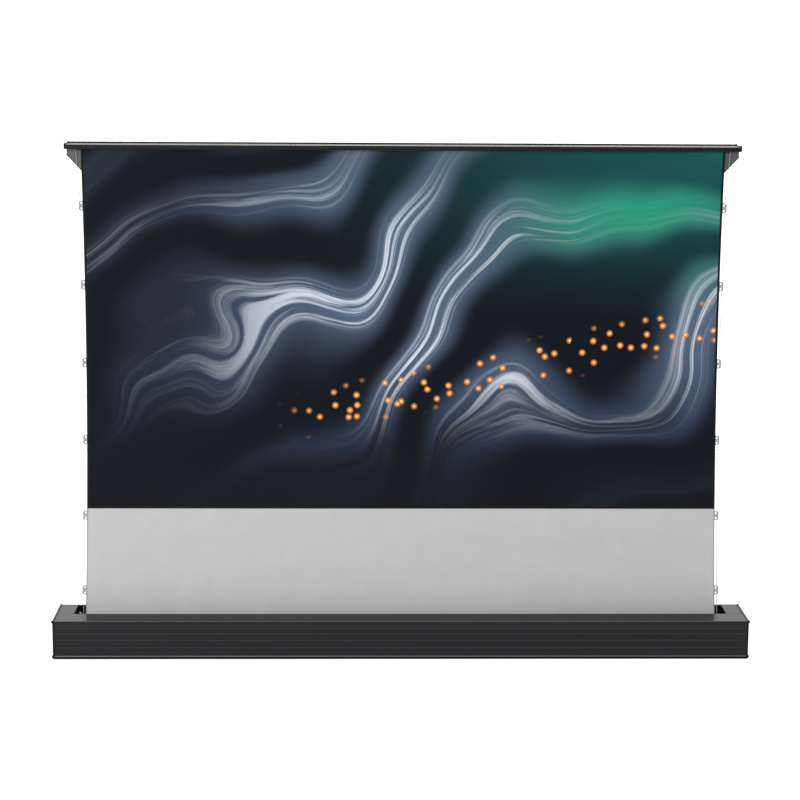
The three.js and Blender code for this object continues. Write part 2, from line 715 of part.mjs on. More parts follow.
function buildLid() {
  const y0 = lidFrontY;
  const y1 = lidRearY;
  const section = outline([
    [y0, lidBottom],
    [fabricY - hemSlit / 2, lidBottom],
    [fabricY - hemSlit / 2, lidBottom + lidWall],
    [fabricY - hemChannelWidth / 2 + lidWall / 2, lidBottom + lidWall],
    [fabricY - hemChannelWidth / 2 + lidWall / 2, lidBottom + lidWall + hemChannelHeight],
    [fabricY + hemChannelWidth / 2, lidBottom + lidWall + hemChannelHeight],
    [fabricY + hemChannelWidth / 2, lidBottom + lidWall],
    [fabricY + hemSlit / 2, lidBottom + lidWall],
    [fabricY + hemSlit / 2, lidBottom],
    [y1, lidBottom],
    [y1, lidTop + lidRidge],
    [y1 - lidRidgeWidth, lidTop + lidRidge],
    [y1 - lidRidgeWidth, lidTop],
    [y0, lidTop],
  ]);
  const profileHalf = lidHalf - lidCapThickness;
  const hollowStart = fabricY + hemChannelWidth / 2 + lidWall;
  const hollowMiddle = (hollowStart + y1) / 2;
  const chamber = (from, to) => box(
    [-profileHalf - overrun, from, lidBottom + lidWall],
    [profileHalf + overrun, to, lidTop - lidWall],
  );
  const profile = cut(
    alongX(section, -profileHalf, profileHalf),
    chamber(hollowStart, hollowMiddle - lidWall / 2),
    chamber(hollowMiddle + lidWall / 2, y1 - lidWall),
  );
  piece("lid_profile", profile, "satinBlack");

  const hemZ = lidBottom + lidWall + hemChannelHeight / 2;
  const hemHalf = fabricHalf(lidBottom);
  const hem = turnedX(rod(hemRodRadius, -hemHalf, hemHalf), rodSides).translate(0, fabricY, hemZ);
  piece("hem_rod", hem, "brightAlloy");

  bothEnds((end, way) => {
    const [c0, c1] = span(way, profileHalf, lidHalf);
    const cap = box([c0, y0 - lidCapSide, lidBottom], [c1, y1 + lidCapSide, lidTop + lidCapProud]);
    const [k0, k1] = span(way, profileHalf - 3 * lidCapThickness, profileHalf);
    const key = box(
      [k0, hollowStart + seatGap, lidBottom + lidWall + seatGap],
      [k1, hollowMiddle - lidWall / 2 - seatGap, lidTop - lidWall - seatGap],
    );
    piece(`lid_cap_${end}`, fuse(cap, key), "mouldedBlack");

    // Bracket under the lid: the triangular gusset in front, a hanger behind, a plate joining them.
    const edge = slotHalf - gussetEndInset;
    const top = lidBottom - seatGap;
    const slope = gussetDrop - gussetEdgeHeight;
    const gusset = outline([
      [way * edge, top], [way * edge, top - gussetEdgeHeight],
      [way * (edge - slope), top - gussetDrop],
      [way * (edge - slope - gussetFootWidth), top - gussetDrop],
      [way * (edge - slope - gussetFootWidth - gussetInnerSlope), top],
    ]);
    const hanger = outline([
      [way * (pivotX + hangerHalfWidth), top],
      [way * (pivotX + hangerFoot), topPivotZ - hangerFoot],
      [way * (pivotX - hangerFoot), topPivotZ - hangerFoot],
      [way * (pivotX - hangerHalfWidth), top],
    ]);
    const [p0, p1] = span(way, pivotX - hangerHalfWidth, pivotX + hangerHalfWidth);
    const body = fuse(
      alongY(gusset, gussetY, gussetY + gussetThickness),
      alongY(hanger, hangerY, hangerY + gussetThickness),
      box([p0, gussetY, top - gussetThickness], [p1, hangerY + gussetThickness, top]),
    );
    const boreEnd = hangerY + gussetThickness + overrun;
    const bore = turnedY(rod(pinRadius + seatGap, gussetY - overrun, boreEnd), pinSides);
    bore.translate(way * pivotX, 0, topPivotZ);
    piece(`lid_bracket_${end}`, cut(body, bore), "greySteel");
    const head = hangerY + gussetThickness + seatGap;
    const pin = turnedY([
      [0, gussetY], [pinRadius, gussetY], [pinRadius, head],
      [pinHeadRadius, head], [pinHeadRadius, head + pinHeadLength - seatGap * 2],
      [0, head + pinHeadLength - seatGap * 2],
    ], pinSides);
    piece(`top_pin_${end}`, pin.translate(way * pivotX, 0, topPivotZ), "zincSteel");
  });
}

// A knuckle in the arm's own frame: pivot at the origin, the tube starts at knuckleReach.
function knuckle(radius, middleY) {
  const y0 = middleY - armTubeDepth / 2;
  const y1 = middleY + armTubeDepth / 2;
  const boss = turnedY(rod(radius, y0, y1));
  const shank = alongY(outline([
    [0, -radius], [knuckleReach - seatGap, -armTubeHeight / 2],
    [knuckleReach - seatGap, armTubeHeight / 2], [0, radius],
  ]), y0, y1);
  const inner = armTubeWall + seatGap;
  const spigot = box(
    [knuckleReach / 2, y0 + inner, -armTubeHeight / 2 + inner + armTubeWall],
    [knuckleReach + spigotLength, y1 - inner, armTubeHeight / 2 - inner - armTubeWall],
  );
  return { solids: [boss, shank, spigot], y0, y1 };
}

function buildKnuckle(name, radius, middleY, group, pivot, collarTo) {
  const { solids, y0, y1 } = knuckle(radius, middleY);
  if (collarTo !== undefined) solids.push(turnedY(rod(collarRadius, collarTo, middleY), pinSides));
  const from = Math.min(y0, collarTo ?? y0) - overrun;
  const bore = turnedY(rod(pinRadius + runGap, from, y1 + overrun), pinSides);
  const body = cut(fuse(...solids), bore);
  // The far knuckle faces back along the arm.
  const mesh = piece(name, body, "castAlloy", group);
  if (pivot > 0) {
    mesh.rotation.y = Math.PI;
    mesh.position.x = pivot;
  }
}

function buildArm(group, side, middleY, near, far) {
  const y0 = middleY - armTubeDepth / 2;
  const y1 = middleY + armTubeDepth / 2;
  const half = armTubeHeight / 2;
  const section = roundedRectangle(y0, -half, y1, half, armTubeCorner);
  const hole = roundedRectangle(
    y0 + armTubeWall, -half + armTubeWall, y1 - armTubeWall, half - armTubeWall,
    armTubeCorner - armTubeWall,
  );
  section.holes.push(new THREE.Path(hole.getPoints(cornerSides)));
  const tube = alongX(section, knuckleReach, armLength - knuckleReach);
  piece(side, tube, "armBlack", group);
  buildKnuckle(near.name, near.radius, middleY, group, 0, near.collarTo);
  buildKnuckle(far.name, far.radius, middleY, group, armLength, far.collarTo);
}

function buildArms() {
  const collarTo = upperArmY + armTubeDepth / 2 + seatGap;
  bothEnds((end, way) => {
    // The left arm leans to the right, the right one to the left.
    const lean = way < 0 ? armAngle : Math.PI - armAngle;
    const lower = new THREE.Group();
    lower.position.set(way * pivotX, 0, basePivotRise);
    lower.rotation.y = -lean;
    screen.add(lower);
    buildArm(lower, `lower_arm_tube_${end}`, lowerArmY,
      { name: `base_knuckle_${end}`, radius: knuckleRadius },
      { name: `lower_elbow_knuckle_${end}`, radius: elbowRadius, collarTo });
    const upper = new THREE.Group();
    upper.position.set(way * (pivotX - elbowInset), 0, basePivotRise + armRise);
    upper.rotation.y = lean - Math.PI;
    screen.add(upper);
    buildArm(upper, `upper_arm_tube_${end}`, upperArmY,
      { name: `upper_elbow_knuckle_${end}`, radius: elbowRadius },
      { name: `top_knuckle_${end}`, radius: knuckleRadius });

    const front = upperArmY - armTubeDepth / 2 - seatGap;
    const rear = lowerArmY + armTubeDepth / 2 + seatGap;
    const elbowPin = turnedY([
      [0, front - pinHeadLength], [pinHeadRadius, front - pinHeadLength], [pinHeadRadius, front],
      [pinRadius, front], [pinRadius, rear], [pinHeadRadius, rear],
      [pinHeadRadius, rear + pinHeadLength], [0, rear + pinHeadLength],
    ], pinSides);
    elbowPin.translate(way * (pivotX - elbowInset), 0, basePivotRise + armRise);
    piece(`elbow_pin_${end}`, elbowPin, "zincSteel");
    buildBase(end, way);
  });
}

// Base bracket on the floor plate, the pin that turns with the arm and the drum of its spring.
function buildBase(end, way) {
  const bottom = floorTop + seatGap;
  const cheek = (from) => {
    const s = new THREE.Shape();
    s.moveTo(-baseBracketHalfWidth, bottom);
    s.lineTo(baseBracketHalfWidth, bottom);
    s.lineTo(baseBracketHalfWidth, bottom + baseBracketThickness);
    s.lineTo(baseBracketTop, basePivotRise);
    s.absarc(0, basePivotRise, baseBracketTop, 0, Math.PI);
    s.lineTo(-baseBracketHalfWidth, bottom + baseBracketThickness);
    return alongY(s, from, from + baseBracketThickness);
  };
  const sole = box(
    [-baseBracketHalfWidth, baseBracketY, bottom],
    [baseBracketHalfWidth, baseRearY + baseBracketThickness, bottom + baseBracketThickness],
  );
  const from = baseBracketY - overrun;
  const to = baseRearY + baseBracketThickness + overrun;
  const bore = turnedY(rod(pinRadius + runGap, from, to), pinSides).translate(0, 0, basePivotRise);
  const body = cut(fuse(cheek(baseBracketY), cheek(baseRearY), sole), bore);
  piece(`base_bracket_${end}`, body.translate(way * pivotX, 0, 0), "zincSteel");

  const drumStart = baseRearY + baseBracketThickness + seatGap;
  const drumEnd = drumStart + drumLength;
  const drum = turnedY([
    [pinRadius + runGap, drumStart], [drumRadius, drumStart], [drumRadius, drumEnd],
    [drumRadius - drumRim, drumEnd], [drumRadius - drumRim, drumEnd - drumRecess],
    [pinRadius + runGap, drumEnd - drumRecess], [pinRadius + runGap, drumStart],
  ]);
  piece(`spring_drum_${end}`, drum.translate(way * pivotX, 0, basePivotRise), "armBlack");

  const front = baseBracketY - seatGap;
  const rear = drumEnd - drumRecess + seatGap;
  const pin = turnedY([
    [0, front - pinHeadLength + 2 * seatGap], [pinHeadRadius, front - pinHeadLength + 2 * seatGap],
    [pinHeadRadius, front], [pinRadius, front], [pinRadius, rear], [pinHeadRadius, rear],
    [pinHeadRadius, rear + pinHeadLength], [0, rear + pinHeadLength],
  ], pinSides);
  piece(`base_pin_${end}`, pin.translate(way * pivotX, 0, basePivotRise), "zincSteel");
}

function buildElectrics() {
  const boxRearY = rearY - frontWall - seatGap;
  const bottom = floorTop + seatGap;
  const x0 = -controlBoxOffset - controlBoxLength / 2;
  const x1 = -controlBoxOffset + controlBoxLength / 2;
  const top = bottom + controlBoxHeight;
  const shell = box([x0, boxRearY - controlBoxDepth, bottom], [x1, boxRearY, top]);
  const lid = box(
    [x0 - controlBoxRib, boxRearY - controlBoxDepth - controlBoxRib, top - controlBoxLid],
    [x1 + controlBoxRib, boxRearY, top],
  );
  piece("control_box", fuse(shell, lid), "mouldedBlack");

  // Power inlet in the rear wall: flange outside, well with three flat contacts.
  const x = -(shellHalf - inletInset);
  const half = inletWidth / 2;
  const rise = inletHeight / 2;
  const flangeY = rearY + seatGap / 2;
  const flange = box(
    [x - half - inletFlange, flangeY, inletRise - rise - inletFlange],
    [x + half + inletFlange, flangeY + inletFlangeThickness, inletRise + rise + inletFlange],
  );
  const body = box(
    [x - half, rearY - inletDepth, inletRise - rise],
    [x + half, flangeY, inletRise + rise],
  );
  const well = box(
    [x - half + inletWellWall, flangeY - inletWellDepth, inletRise - rise + inletWellWall],
    [x + half - inletWellWall, rearY + overrun, inletRise + rise - inletWellWall],
  );
  const wellFloor = flangeY - inletWellDepth;
  const contacts = contactShares.map((share) => {
    const middle = x + inletWidth * share;
    return box(
      [middle - contactWidth / 2, wellFloor - seatGap, inletRise - contactHeight / 2],
      [middle + contactWidth / 2, wellFloor + contactLength, inletRise + contactHeight / 2],
    );
  });
  piece("power_inlet", fuse(cut(fuse(flange, body), well), ...contacts), "mouldedBlack");

  // Closed-lid switch on the left cover's skirt, below the lid's resting place.
  const switchX = -slotHalf + seatGap;
  const y = slotRearY - switchSetback;
  const switchTop = caseHeight - switchDrop;
  const block = box(
    [switchX, y - switchDepth / 2, switchTop - switchHeight],
    [switchX + switchLength, y + switchDepth / 2, switchTop],
  );
  const lever = box(
    [switchX + switchLength / 4, y - switchDepth / 4, switchTop - switchLever],
    [switchX + switchLength - switchLever, y + switchDepth / 4, switchTop + switchLever],
  );
  piece("lid_switch", fuse(block, lever), "whiteNylon");
}

buildCase();
buildRoller();
buildArms();
buildLid();
buildFabric();
buildElectrics();

export default screen;
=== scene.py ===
"""Looks of a floor-rising projection screen, built round its packed solids.

Laid out as an add-on: sizes and colours are scene properties, each group of like pieces has an
operator, and a panel in the 3D view's sidebar lists them. Metres, +Z up, viewer at -Y, screen raised.
"""

import json
import math
from functools import partial

import bmesh
import bpy
import numpy as np
from bpy.props import FloatProperty, FloatVectorProperty, IntProperty, PointerProperty
from mathutils import Euler, Matrix, Vector


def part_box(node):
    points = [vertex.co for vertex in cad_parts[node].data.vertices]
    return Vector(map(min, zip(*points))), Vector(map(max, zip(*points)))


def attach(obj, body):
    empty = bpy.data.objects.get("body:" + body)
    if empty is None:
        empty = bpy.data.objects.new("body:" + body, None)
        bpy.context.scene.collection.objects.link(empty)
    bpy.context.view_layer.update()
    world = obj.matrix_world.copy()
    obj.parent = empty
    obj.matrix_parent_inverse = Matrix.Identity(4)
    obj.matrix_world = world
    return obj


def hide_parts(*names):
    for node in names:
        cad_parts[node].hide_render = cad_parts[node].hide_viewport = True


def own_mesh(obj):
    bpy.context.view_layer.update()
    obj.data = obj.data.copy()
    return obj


bl_info = {
    "name": "Floor-rising projection screen",
    "version": (1, 0, 0),
    "blender": (4, 5, 0),
    "location": "3D View > Sidebar > Screen",
    "description": "Builds the case, fabric, tabs, cords, lid and elbow arms of a raised projection screen",
    "category": "Object",
}

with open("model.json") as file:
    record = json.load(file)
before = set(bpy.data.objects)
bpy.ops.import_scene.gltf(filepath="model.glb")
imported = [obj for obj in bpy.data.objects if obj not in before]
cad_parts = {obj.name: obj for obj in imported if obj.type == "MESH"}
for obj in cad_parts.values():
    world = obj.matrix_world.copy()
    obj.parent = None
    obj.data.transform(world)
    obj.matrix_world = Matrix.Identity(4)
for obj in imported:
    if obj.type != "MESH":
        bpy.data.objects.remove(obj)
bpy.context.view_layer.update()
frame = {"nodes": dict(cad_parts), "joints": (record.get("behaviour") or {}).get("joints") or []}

MM = 0.001
GAP = 0.3 * MM  # between pieces that lie against each other
ENDS = (("left", -1), ("right", 1))


def mm(*lengths):
    """Millimetres as metres."""
    return [length * MM for length in lengths]


def box(node):
    """The least and the greatest corner of a packed solid."""
    return [Vector(corner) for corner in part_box(node)]


def low(node):
    return box(node)[0]


def high(node):
    return box(node)[1]


def span(node, axis):
    """The least and the greatest place of a packed solid along one axis."""
    return [getattr(corner, axis) for corner in box(node)]


def at_end(way, near, far):
    """Two distances from the middle as places along X at one end, the lesser first."""
    return sorted((way * near, way * far))


def pivot(joint):
    return Vector(next(j["pos_m"] for j in frame["joints"] if j["name"] == joint))


# Places read from the solids
FRONT = low("case_front_profile").y
REAR = high("case_rear_profile").y
SHELL_BOTTOM = low("case_front_profile").z
SHELL_HALF, SLOT_FRONT, CASE_TOP = high("case_front_profile")
SLOT_REAR = high("slot_end_cover_left").y + GAP
SLOT_HALF = -high("slot_end_cover_left").x
FLOOR_PLATE_TOP = high("case_floor_plate").z
FABRIC_Y = (low("fabric_apron").y + high("fabric_apron").y) / 2
FABRIC_LINE = high("wound_fabric").x  # half the fabric's width where it leaves the slot
SOFT_FOOT = low("fabric_apron").z  # below it the fabric doesn't flatten with the lid
SEAM = low("projection_surface").z - 4 * MM  # line where the picture meets the apron
LID_HALF, LID_REAR, _ = high("lid_profile")
_, LID_FRONT, LID_FOOT = low("lid_profile")
LID_TOP = high("lid_profile").z - 2 * MM  # below the solid's ridge
BASE, ELBOW, HEAD = (pivot(f"left_{joint}") for joint in ("base_pivot", "elbow", "top_pivot"))
ROLLER = pivot("roller_spin")
ROLLER_HALF = high("roller_tube").x
GUIDE = (low("fabric_guide_bar") + high("fabric_guide_bar")) / 2
TUBE_DEPTH = high("upper_arm_tube_left").y - low("upper_arm_tube_left").y

# Lengths that several pieces share
PIN_RADIUS = 6 * MM
BORE = PIN_RADIUS + 0.4 * MM  # of what turns on a pin
PIN_HEAD = 9 * MM
KNUCKLE_REACH = 46 * MM
TUBE_HALF = 18 * MM  # half an arm tube's height
SHELL_WALL, SHELL_SKIN, SHELL_FLANGE, SLOT_LIP = mm(3.2, 2.4, 34, 9)
ROLLER_RADIUS, ROLL_RADIUS, GUIDE_RADIUS = mm(25, 28.2, 6)


def linear(colour):
    """A written sRGB colour such as '2a2b2d' as the linear values that Blender reads."""
    parts = [int(colour[i : i + 2], 16) / 255 for i in (0, 2, 4)]
    return [c / 12.92 if c <= 0.04045 else ((c + 0.055) / 1.055) ** 2.4 for c in parts]


def length_property(name, text, length):
    return FloatProperty(name=name, description=text, default=length * MM, unit="LENGTH", subtype="DISTANCE")


def colour_property(name, text, colour):
    shades = {"subtype": "COLOR", "size": 3, "min": 0, "max": 1}
    return FloatVectorProperty(name=name, description=text, default=linear(colour), **shades)


class ScreenSizes(bpy.types.PropertyGroup):
    """Sizes of the screen that someone may want to change."""

    edge_bow: length_property("Edge bow", "How far the tabs draw the fabric's waist in", 21.9)
    edging: length_property("Edging", "Width of the black print round the picture", 8)
    selvedge: length_property("Selvedge", "Width of the apron's sealed side edges", 4.2)
    fabric_thickness: length_property("Fabric thickness", "Thickness of the fabric", 0.5)
    tape_width: length_property("Tape width", "Width of the welded tape that carries the tabs", 20)
    cord_radius: length_property("Cord radius", "Radius of the tension cord", 1.1)
    cord_pitch: length_property("Cord pitch", "Length of one turn of the cord's strands", 9)
    corner_radius: length_property("Corner radius", "Radius of the case's upper edges", 2.8)
    groove_depth: length_property("Groove depth", "Depth of the front's grooves", 2.4)
    groove_height: length_property("Groove height", "Height of the front's grooves", 4)
    screw_radius: length_property("Screw radius", "Radius of the larger screw heads", 4)
    tab_count: IntProperty(name="Tabs", description="Tabs along each side", default=6, min=2, max=12)
    strand_count: IntProperty(name="Strands", description="Strands of the cord", default=3, min=2, max=5)
    spring_turns: IntProperty(name="Spring turns", description="Turns of a flat spring", default=6, min=2, max=12)


class ScreenColours(bpy.types.PropertyGroup):
    """Colours of the screen that someone may want to change."""

    case_black: colour_property("Case black", "Satin black of the case and lid", "0e0f11")
    plastic_black: colour_property("Plastic black", "Moulded end plates and caps", "08090a")
    fabric_grey: colour_property("Fabric grey", "Apron below the picture", "939394")
    picture_deep: colour_property("Picture deep", "Darkest blue of the picture", "080d16")
    picture_glow: colour_property("Picture glow", "Green sheen in the picture", "1c8667")
    picture_warm: colour_property("Picture warm", "Small warm sparks in the picture", "c9772c")
    tab_clear: colour_property("Tab plastic", "Clear plastic of the tabs", "94979a")
    cord_grey: colour_property("Cord grey", "Braid of the tension cords", "828384")
    arm_black: colour_property("Arm black", "Anodised arm tubes", "1a1b1d")


def sizes():
    return bpy.context.scene.screen_sizes


def colours():
    return bpy.context.scene.screen_colours


# Edge rule: the tabs draw the fabric's sides into a parabola


WAIST = CASE_TOP + (LID_FOOT - CASE_TOP) * 0.69
CORD_OFFSET = 8 * MM
TAB_ROOT = 43 * MM
CORD_INSET = 41.5 * MM  # of the cord's upper end from the slot's end
FIRST_TAB_SHARE, TAB_SPAN_SHARE = 0.0523, 0.83


def fabric_half(z):
    away = (z - WAIST) / (WAIST - CASE_TOP)
    return FABRIC_LINE - sizes().edge_bow * (1 - away * away)


def tab_heights():
    shares = [FIRST_TAB_SHARE + i * TAB_SPAN_SHARE / (sizes().tab_count - 1) for i in range(sizes().tab_count)]
    return [CASE_TOP + (LID_FOOT - CASE_TOP) * share for share in shares]


def cord_half(z):
    top_tab = tab_heights()[-1] + TAB_ROOT / 2
    if z <= top_tab:
        return fabric_half(z) + CORD_OFFSET
    share = (z - top_tab) / (LID_FOOT - top_tab)
    return (fabric_half(top_tab) + CORD_OFFSET) * (1 - share) + (SLOT_HALF - CORD_INSET) * share


# Outlines and solids: places are in metres, roundings of corners and edges in millimetres


def filleted(points, steps=4):
    """A closed outline of (a, b) or (a, b, radius) corners; each is rounded in steps, or cut off by one."""
    out = []
    for i, here in enumerate(points):
        radius = here[2] * MM if len(here) > 2 else 0
        p = Vector(here[:2])
        to_last = Vector(points[i - 1][:2]) - p
        to_next = Vector(points[(i + 1) % len(points)][:2]) - p
        angle = to_last.angle(to_next, 0) if radius else 0
        if not radius or angle < 0.05 or angle > 3.09:
            out.append(p)
            continue
        reach = min(radius / math.tan(angle / 2), 0.45 * to_last.length, 0.45 * to_next.length)
        start, end = p + to_last.normalized() * reach, p + to_next.normalized() * reach
        middle = p + (to_last.normalized() + to_next.normalized()).normalized() * reach / math.cos(angle / 2)
        first = math.atan2(*(start - middle).yx)
        turn = (math.atan2(*(end - middle).yx) - first + math.pi) % (2 * math.pi) - math.pi
        size, angles = (start - middle).length, [first + turn * k / steps for k in range(steps + 1)]
        out += [middle + size * Vector((math.cos(t), math.sin(t))) for t in angles]
    return out


def rectangle(a0, b0, a1, b1, radius=0.0, steps=6):
    return filleted([(a0, b0, radius), (a1, b0, radius), (a1, b1, radius), (a0, b1, radius)], steps)


def turns_of(sides):
    return [2 * math.pi * i / sides for i in range(sides)]


def circle(a, b, radius, angles=turns_of(40)):
    return [Vector((a + radius * math.cos(t), b + radius * math.sin(t))) for t in angles]


AXES = {"x": (2, 0, 1), "y": (0, 2, 1), "z": (0, 1, 2)}  # which of (a, b, depth) lies along X, Y, Z
SHARP = 0.45  # least angle of an edge that is rounded


def soften(bm, width, steps=2, within=None):
    """Rounds the sharp edges of a solid, or those that a test picks."""
    sharp = [e for e in bm.edges if len(e.link_faces) == 2 and e.calc_face_angle(0) >= SHARP]
    chosen = [e for e in sharp if within is None or within(e)]
    if chosen and width > 0:
        shape = {"segments": steps, "profile": 0.5, "affect": "EDGES", "clamp_overlap": True}
        bmesh.ops.bevel(bm, geom=chosen, offset=width * MM, **shape)
    return bm


def faced_out(bm):
    bmesh.ops.recalc_face_normals(bm, faces=bm.faces[:])
    return bm


def prism(outline, from_, to, axis, holes=(), soft=0.0, steps=2):
    """A solid of one outline with holes, drawn along an axis between two depths."""
    bm = bmesh.new()
    order = AXES[axis]
    edges = []
    for loop in (outline, *holes):
        corners = [bm.verts.new([(p[0], p[1], from_)[k] for k in order]) for p in loop]
        edges += [bm.edges.new((corners[i - 1], corners[i])) for i in range(len(corners))]
    if holes:
        bmesh.ops.triangle_fill(bm, use_beauty=True, use_dissolve=False, edges=edges)
        inner = [e for e in bm.edges if len(e.link_faces) == 2]
        bmesh.ops.dissolve_limit(bm, angle_limit=0.01, verts=[], edges=inner)
    else:
        bm.faces.new(bm.verts)
    grown = bmesh.ops.extrude_face_region(bm, geom=bm.faces[:])
    shift = Vector([(0, 0, to - from_)[k] for k in order])
    bmesh.ops.translate(bm, vec=shift, verts=[v for v in grown["geom"] if isinstance(v, bmesh.types.BMVert)])
    return soften(faced_out(bm), soft, steps)


def block(corner0, corner1, soft=0.0, steps=2):
    (x0, y0, z0), (x1, y1, z1) = corner0, corner1
    return prism(rectangle(x0, y0, x1, y1), z0, z1, "z", soft=soft, steps=steps)


TO_AXIS = {"x": (math.pi / 2, "Y"), "y": (-math.pi / 2, "X"), "z": (0, "Z")}  # turns Z to the axis


def turned(profile, axis, centre=(0, 0, 0), sides=64):
    """A body of revolution from (radius, depth) or (radius, depth, cut) corners; radius 0 closes an end."""
    bm = bmesh.new()
    angle, about = TO_AXIS[axis]
    place = Matrix.Translation(centre) @ Matrix.Rotation(angle, 4, about)
    rings = []
    for radius, depth in filleted(profile, 1):
        loop = circle(0, 0, radius, turns_of(sides if radius > 1e-9 else 1))
        rings.append([bm.verts.new(place @ Vector((*p, depth))) for p in loop])
    pairs = list(zip(rings, rings[1:]))
    if len(rings[0]) > 1:
        pairs.append((rings[-1], rings[0]))
    for one, two in pairs:
        for i in range(sides):
            corners = [one[i % len(one)], one[(i + 1) % len(one)], two[(i + 1) % len(two)], two[i % len(two)]]
            corners = [v for k, v in enumerate(corners) if v not in corners[:k]]
            if len(corners) > 2:
                bm.faces.new(corners)
    return faced_out(bm)


def stepped(place, *steps):
    """Profile points from (radius, depth) steps in millimetres, the depths counted from one place."""
    return [(radius * MM, place + depth * MM) for radius, depth in steps]


def rod(radius, from_, to):
    """The profile of a plain pin with rounded ends."""
    edge = 0.4 * MM
    steps = [(edge * a, edge * b) for a, b in ((1, 0), (0.3, 0.3), (0, 1))]
    near = [(radius - a, from_ + b) for a, b in steps]
    return [(0, from_), *near, *[(radius - a, to - b) for a, b in steps[::-1]], (0, to)]


def ring(inner, outer, from_, to, cut=0.3):
    return [(inner, from_, cut), (outer, from_, cut), (outer, to, cut), (inner, to, cut)]


def skinned(bm, rings):
    """Closes rings of corners into one solid, with a face over each end."""
    for last, here in zip(rings, rings[1:]):
        for k in range(len(here)):
            bm.faces.new((last[k - 1], last[k], here[k], here[k - 1]))
    bm.faces.new(rings[0][::-1])
    bm.faces.new(rings[-1])
    return faced_out(bm)


def drawn_tube(path, radius, sides):
    """A closed tube along a path."""
    bm = bmesh.new()
    points = [Vector(p) for p in path]
    side, rings = None, []
    for i, point in enumerate(points):
        ahead = (points[min(i + 1, len(points) - 1)] - points[max(i - 1, 0)]).normalized()
        side = side or ahead.orthogonal().normalized()
        side = (side - ahead * side.dot(ahead)).normalized()
        up = ahead.cross(side)
        loop = [point + radius * (side * math.cos(t) + up * math.sin(t)) for t in turns_of(sides)]
        rings.append([bm.verts.new(p) for p in loop])
    return skinned(bm, rings)


def refined(node, soft, steps=2):
    """A copy of a packed solid with its flat faces joined and its sharp edges rounded."""
    source = frame["nodes"][node]
    bm = bmesh.new()
    bm.from_mesh(source.data)
    bm.transform(source.matrix_world)
    bmesh.ops.remove_doubles(bm, verts=bm.verts[:], dist=1e-6)
    bmesh.ops.dissolve_limit(bm, angle_limit=0.02, verts=bm.verts[:], edges=bm.edges[:])
    return soften(faced_out(bm), soft, steps)


def moved(bm, matrix):
    bm.transform(matrix)
    return bm


def joined(name, solids, finishes, angle=0.6):
    """One object from solids; a (solid, k) pair takes the k-th finish, or its own marks if k is None."""
    whole = bmesh.new()
    for entry in solids:
        solid, which = entry if isinstance(entry, tuple) else (entry, 0)
        if which is not None:
            for face in solid.faces:
                face.material_index = which
        part = bpy.data.meshes.new("part")
        solid.to_mesh(part)
        solid.free()
        whole.from_mesh(part)
        bpy.data.meshes.remove(part)
    mesh = bpy.data.meshes.new(name)
    whole.to_mesh(mesh)
    whole.free()
    for finish in finishes:
        mesh.materials.append(material(finish))
    mesh.shade_smooth()
    mesh.set_sharp_from_angle(angle=angle)
    obj = bpy.data.objects.new(name, mesh)
    bpy.context.scene.collection.objects.link(obj)
    even = obj.modifiers.new("Even shading", "WEIGHTED_NORMAL")
    even.keep_sharp = True
    return baked(obj)


def baked(obj):
    """Writes what the modifiers make into the mesh and takes them off."""
    bpy.context.view_layer.update()
    made = bpy.data.meshes.new_from_object(obj.evaluated_get(bpy.context.evaluated_depsgraph_get()))
    made.name = obj.name
    obj.modifiers.clear()
    obj.data = made
    return obj


def settled(obj, body, finish, *nodes):
    """Hands a finished piece to its body, with its finish's slot and the solids it stands for."""
    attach(obj, body)
    if nodes:
        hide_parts(*nodes)
    return obj


def piece(name, body, node, finishes, *solids, angle=0.6):
    """A piece of one body that stands for one packed solid; its first finish gives its slot."""
    finishes = [finishes] if isinstance(finishes, str) else finishes
    return settled(joined(name, solids, finishes, angle), body, finishes[0], node)


def flattens(obj):
    """A soft piece goes down with the lid."""
    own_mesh(obj)
    return obj


# Node trees


def add(tree, kind, *inputs, **settings):
    """Adds one node, such as "Math.ADD" for one with an operation.

    Inputs are values, sockets or nodes, either in the sockets' order or as one dict by name or number.
    """
    kind, _, operation = kind.partition(".")
    if operation:
        settings["operation"] = operation
    named = inputs[0] if inputs and isinstance(inputs[0], dict) else dict(enumerate(inputs))
    whole = kind.startswith(("Geometry", "Function", "NodeGroup"))
    made = tree.nodes.new(kind if whole else "ShaderNode" + kind)
    for key, value in settings.items():
        setattr(made, key, value)
    for key, value in named.items():
        socket = made.inputs[key]
        if isinstance(value, bpy.types.Node):
            value = next(o for o in value.outputs if o.enabled)
        if isinstance(value, bpy.types.NodeSocket):
            tree.links.new(value, socket)
        else:
            socket.default_value = value
    return made


def rule_tree(name, **inputs):
    """A new geometry node group with named inputs, listed by kind in one string each.

    Gives the function that adds its nodes, its inputs, and a function that closes it.
    """
    tree = bpy.data.node_groups.new(name, "GeometryNodeTree")
    node = partial(add, tree)
    tree.interface.new_socket("Geometry", in_out="INPUT", socket_type="NodeSocketGeometry")
    tree.interface.new_socket("Geometry", in_out="OUTPUT", socket_type="NodeSocketGeometry")
    for kind, keys in {"Material": "Finish", **inputs}.items():
        for key in keys.split():
            tree.interface.new_socket(key.replace("_", " "), in_out="INPUT", socket_type="NodeSocket" + kind)
    start = node("NodeGroupInput")
    rule = {socket.name.replace(" ", "_"): socket for socket in start.outputs}

    def close(result, *paints):
        """Makes the result real and paints it, then paints chosen faces of it with further finishes."""
        shown = node("GeometryNodeRealizeInstances", result)
        for chosen, finish in ((True, "Finish"), *paints):
            shown = node("GeometryNodeSetMaterial", shown, chosen, rule[finish])
        node("NodeGroupOutput", shown)
        return tree

    return node, rule, close


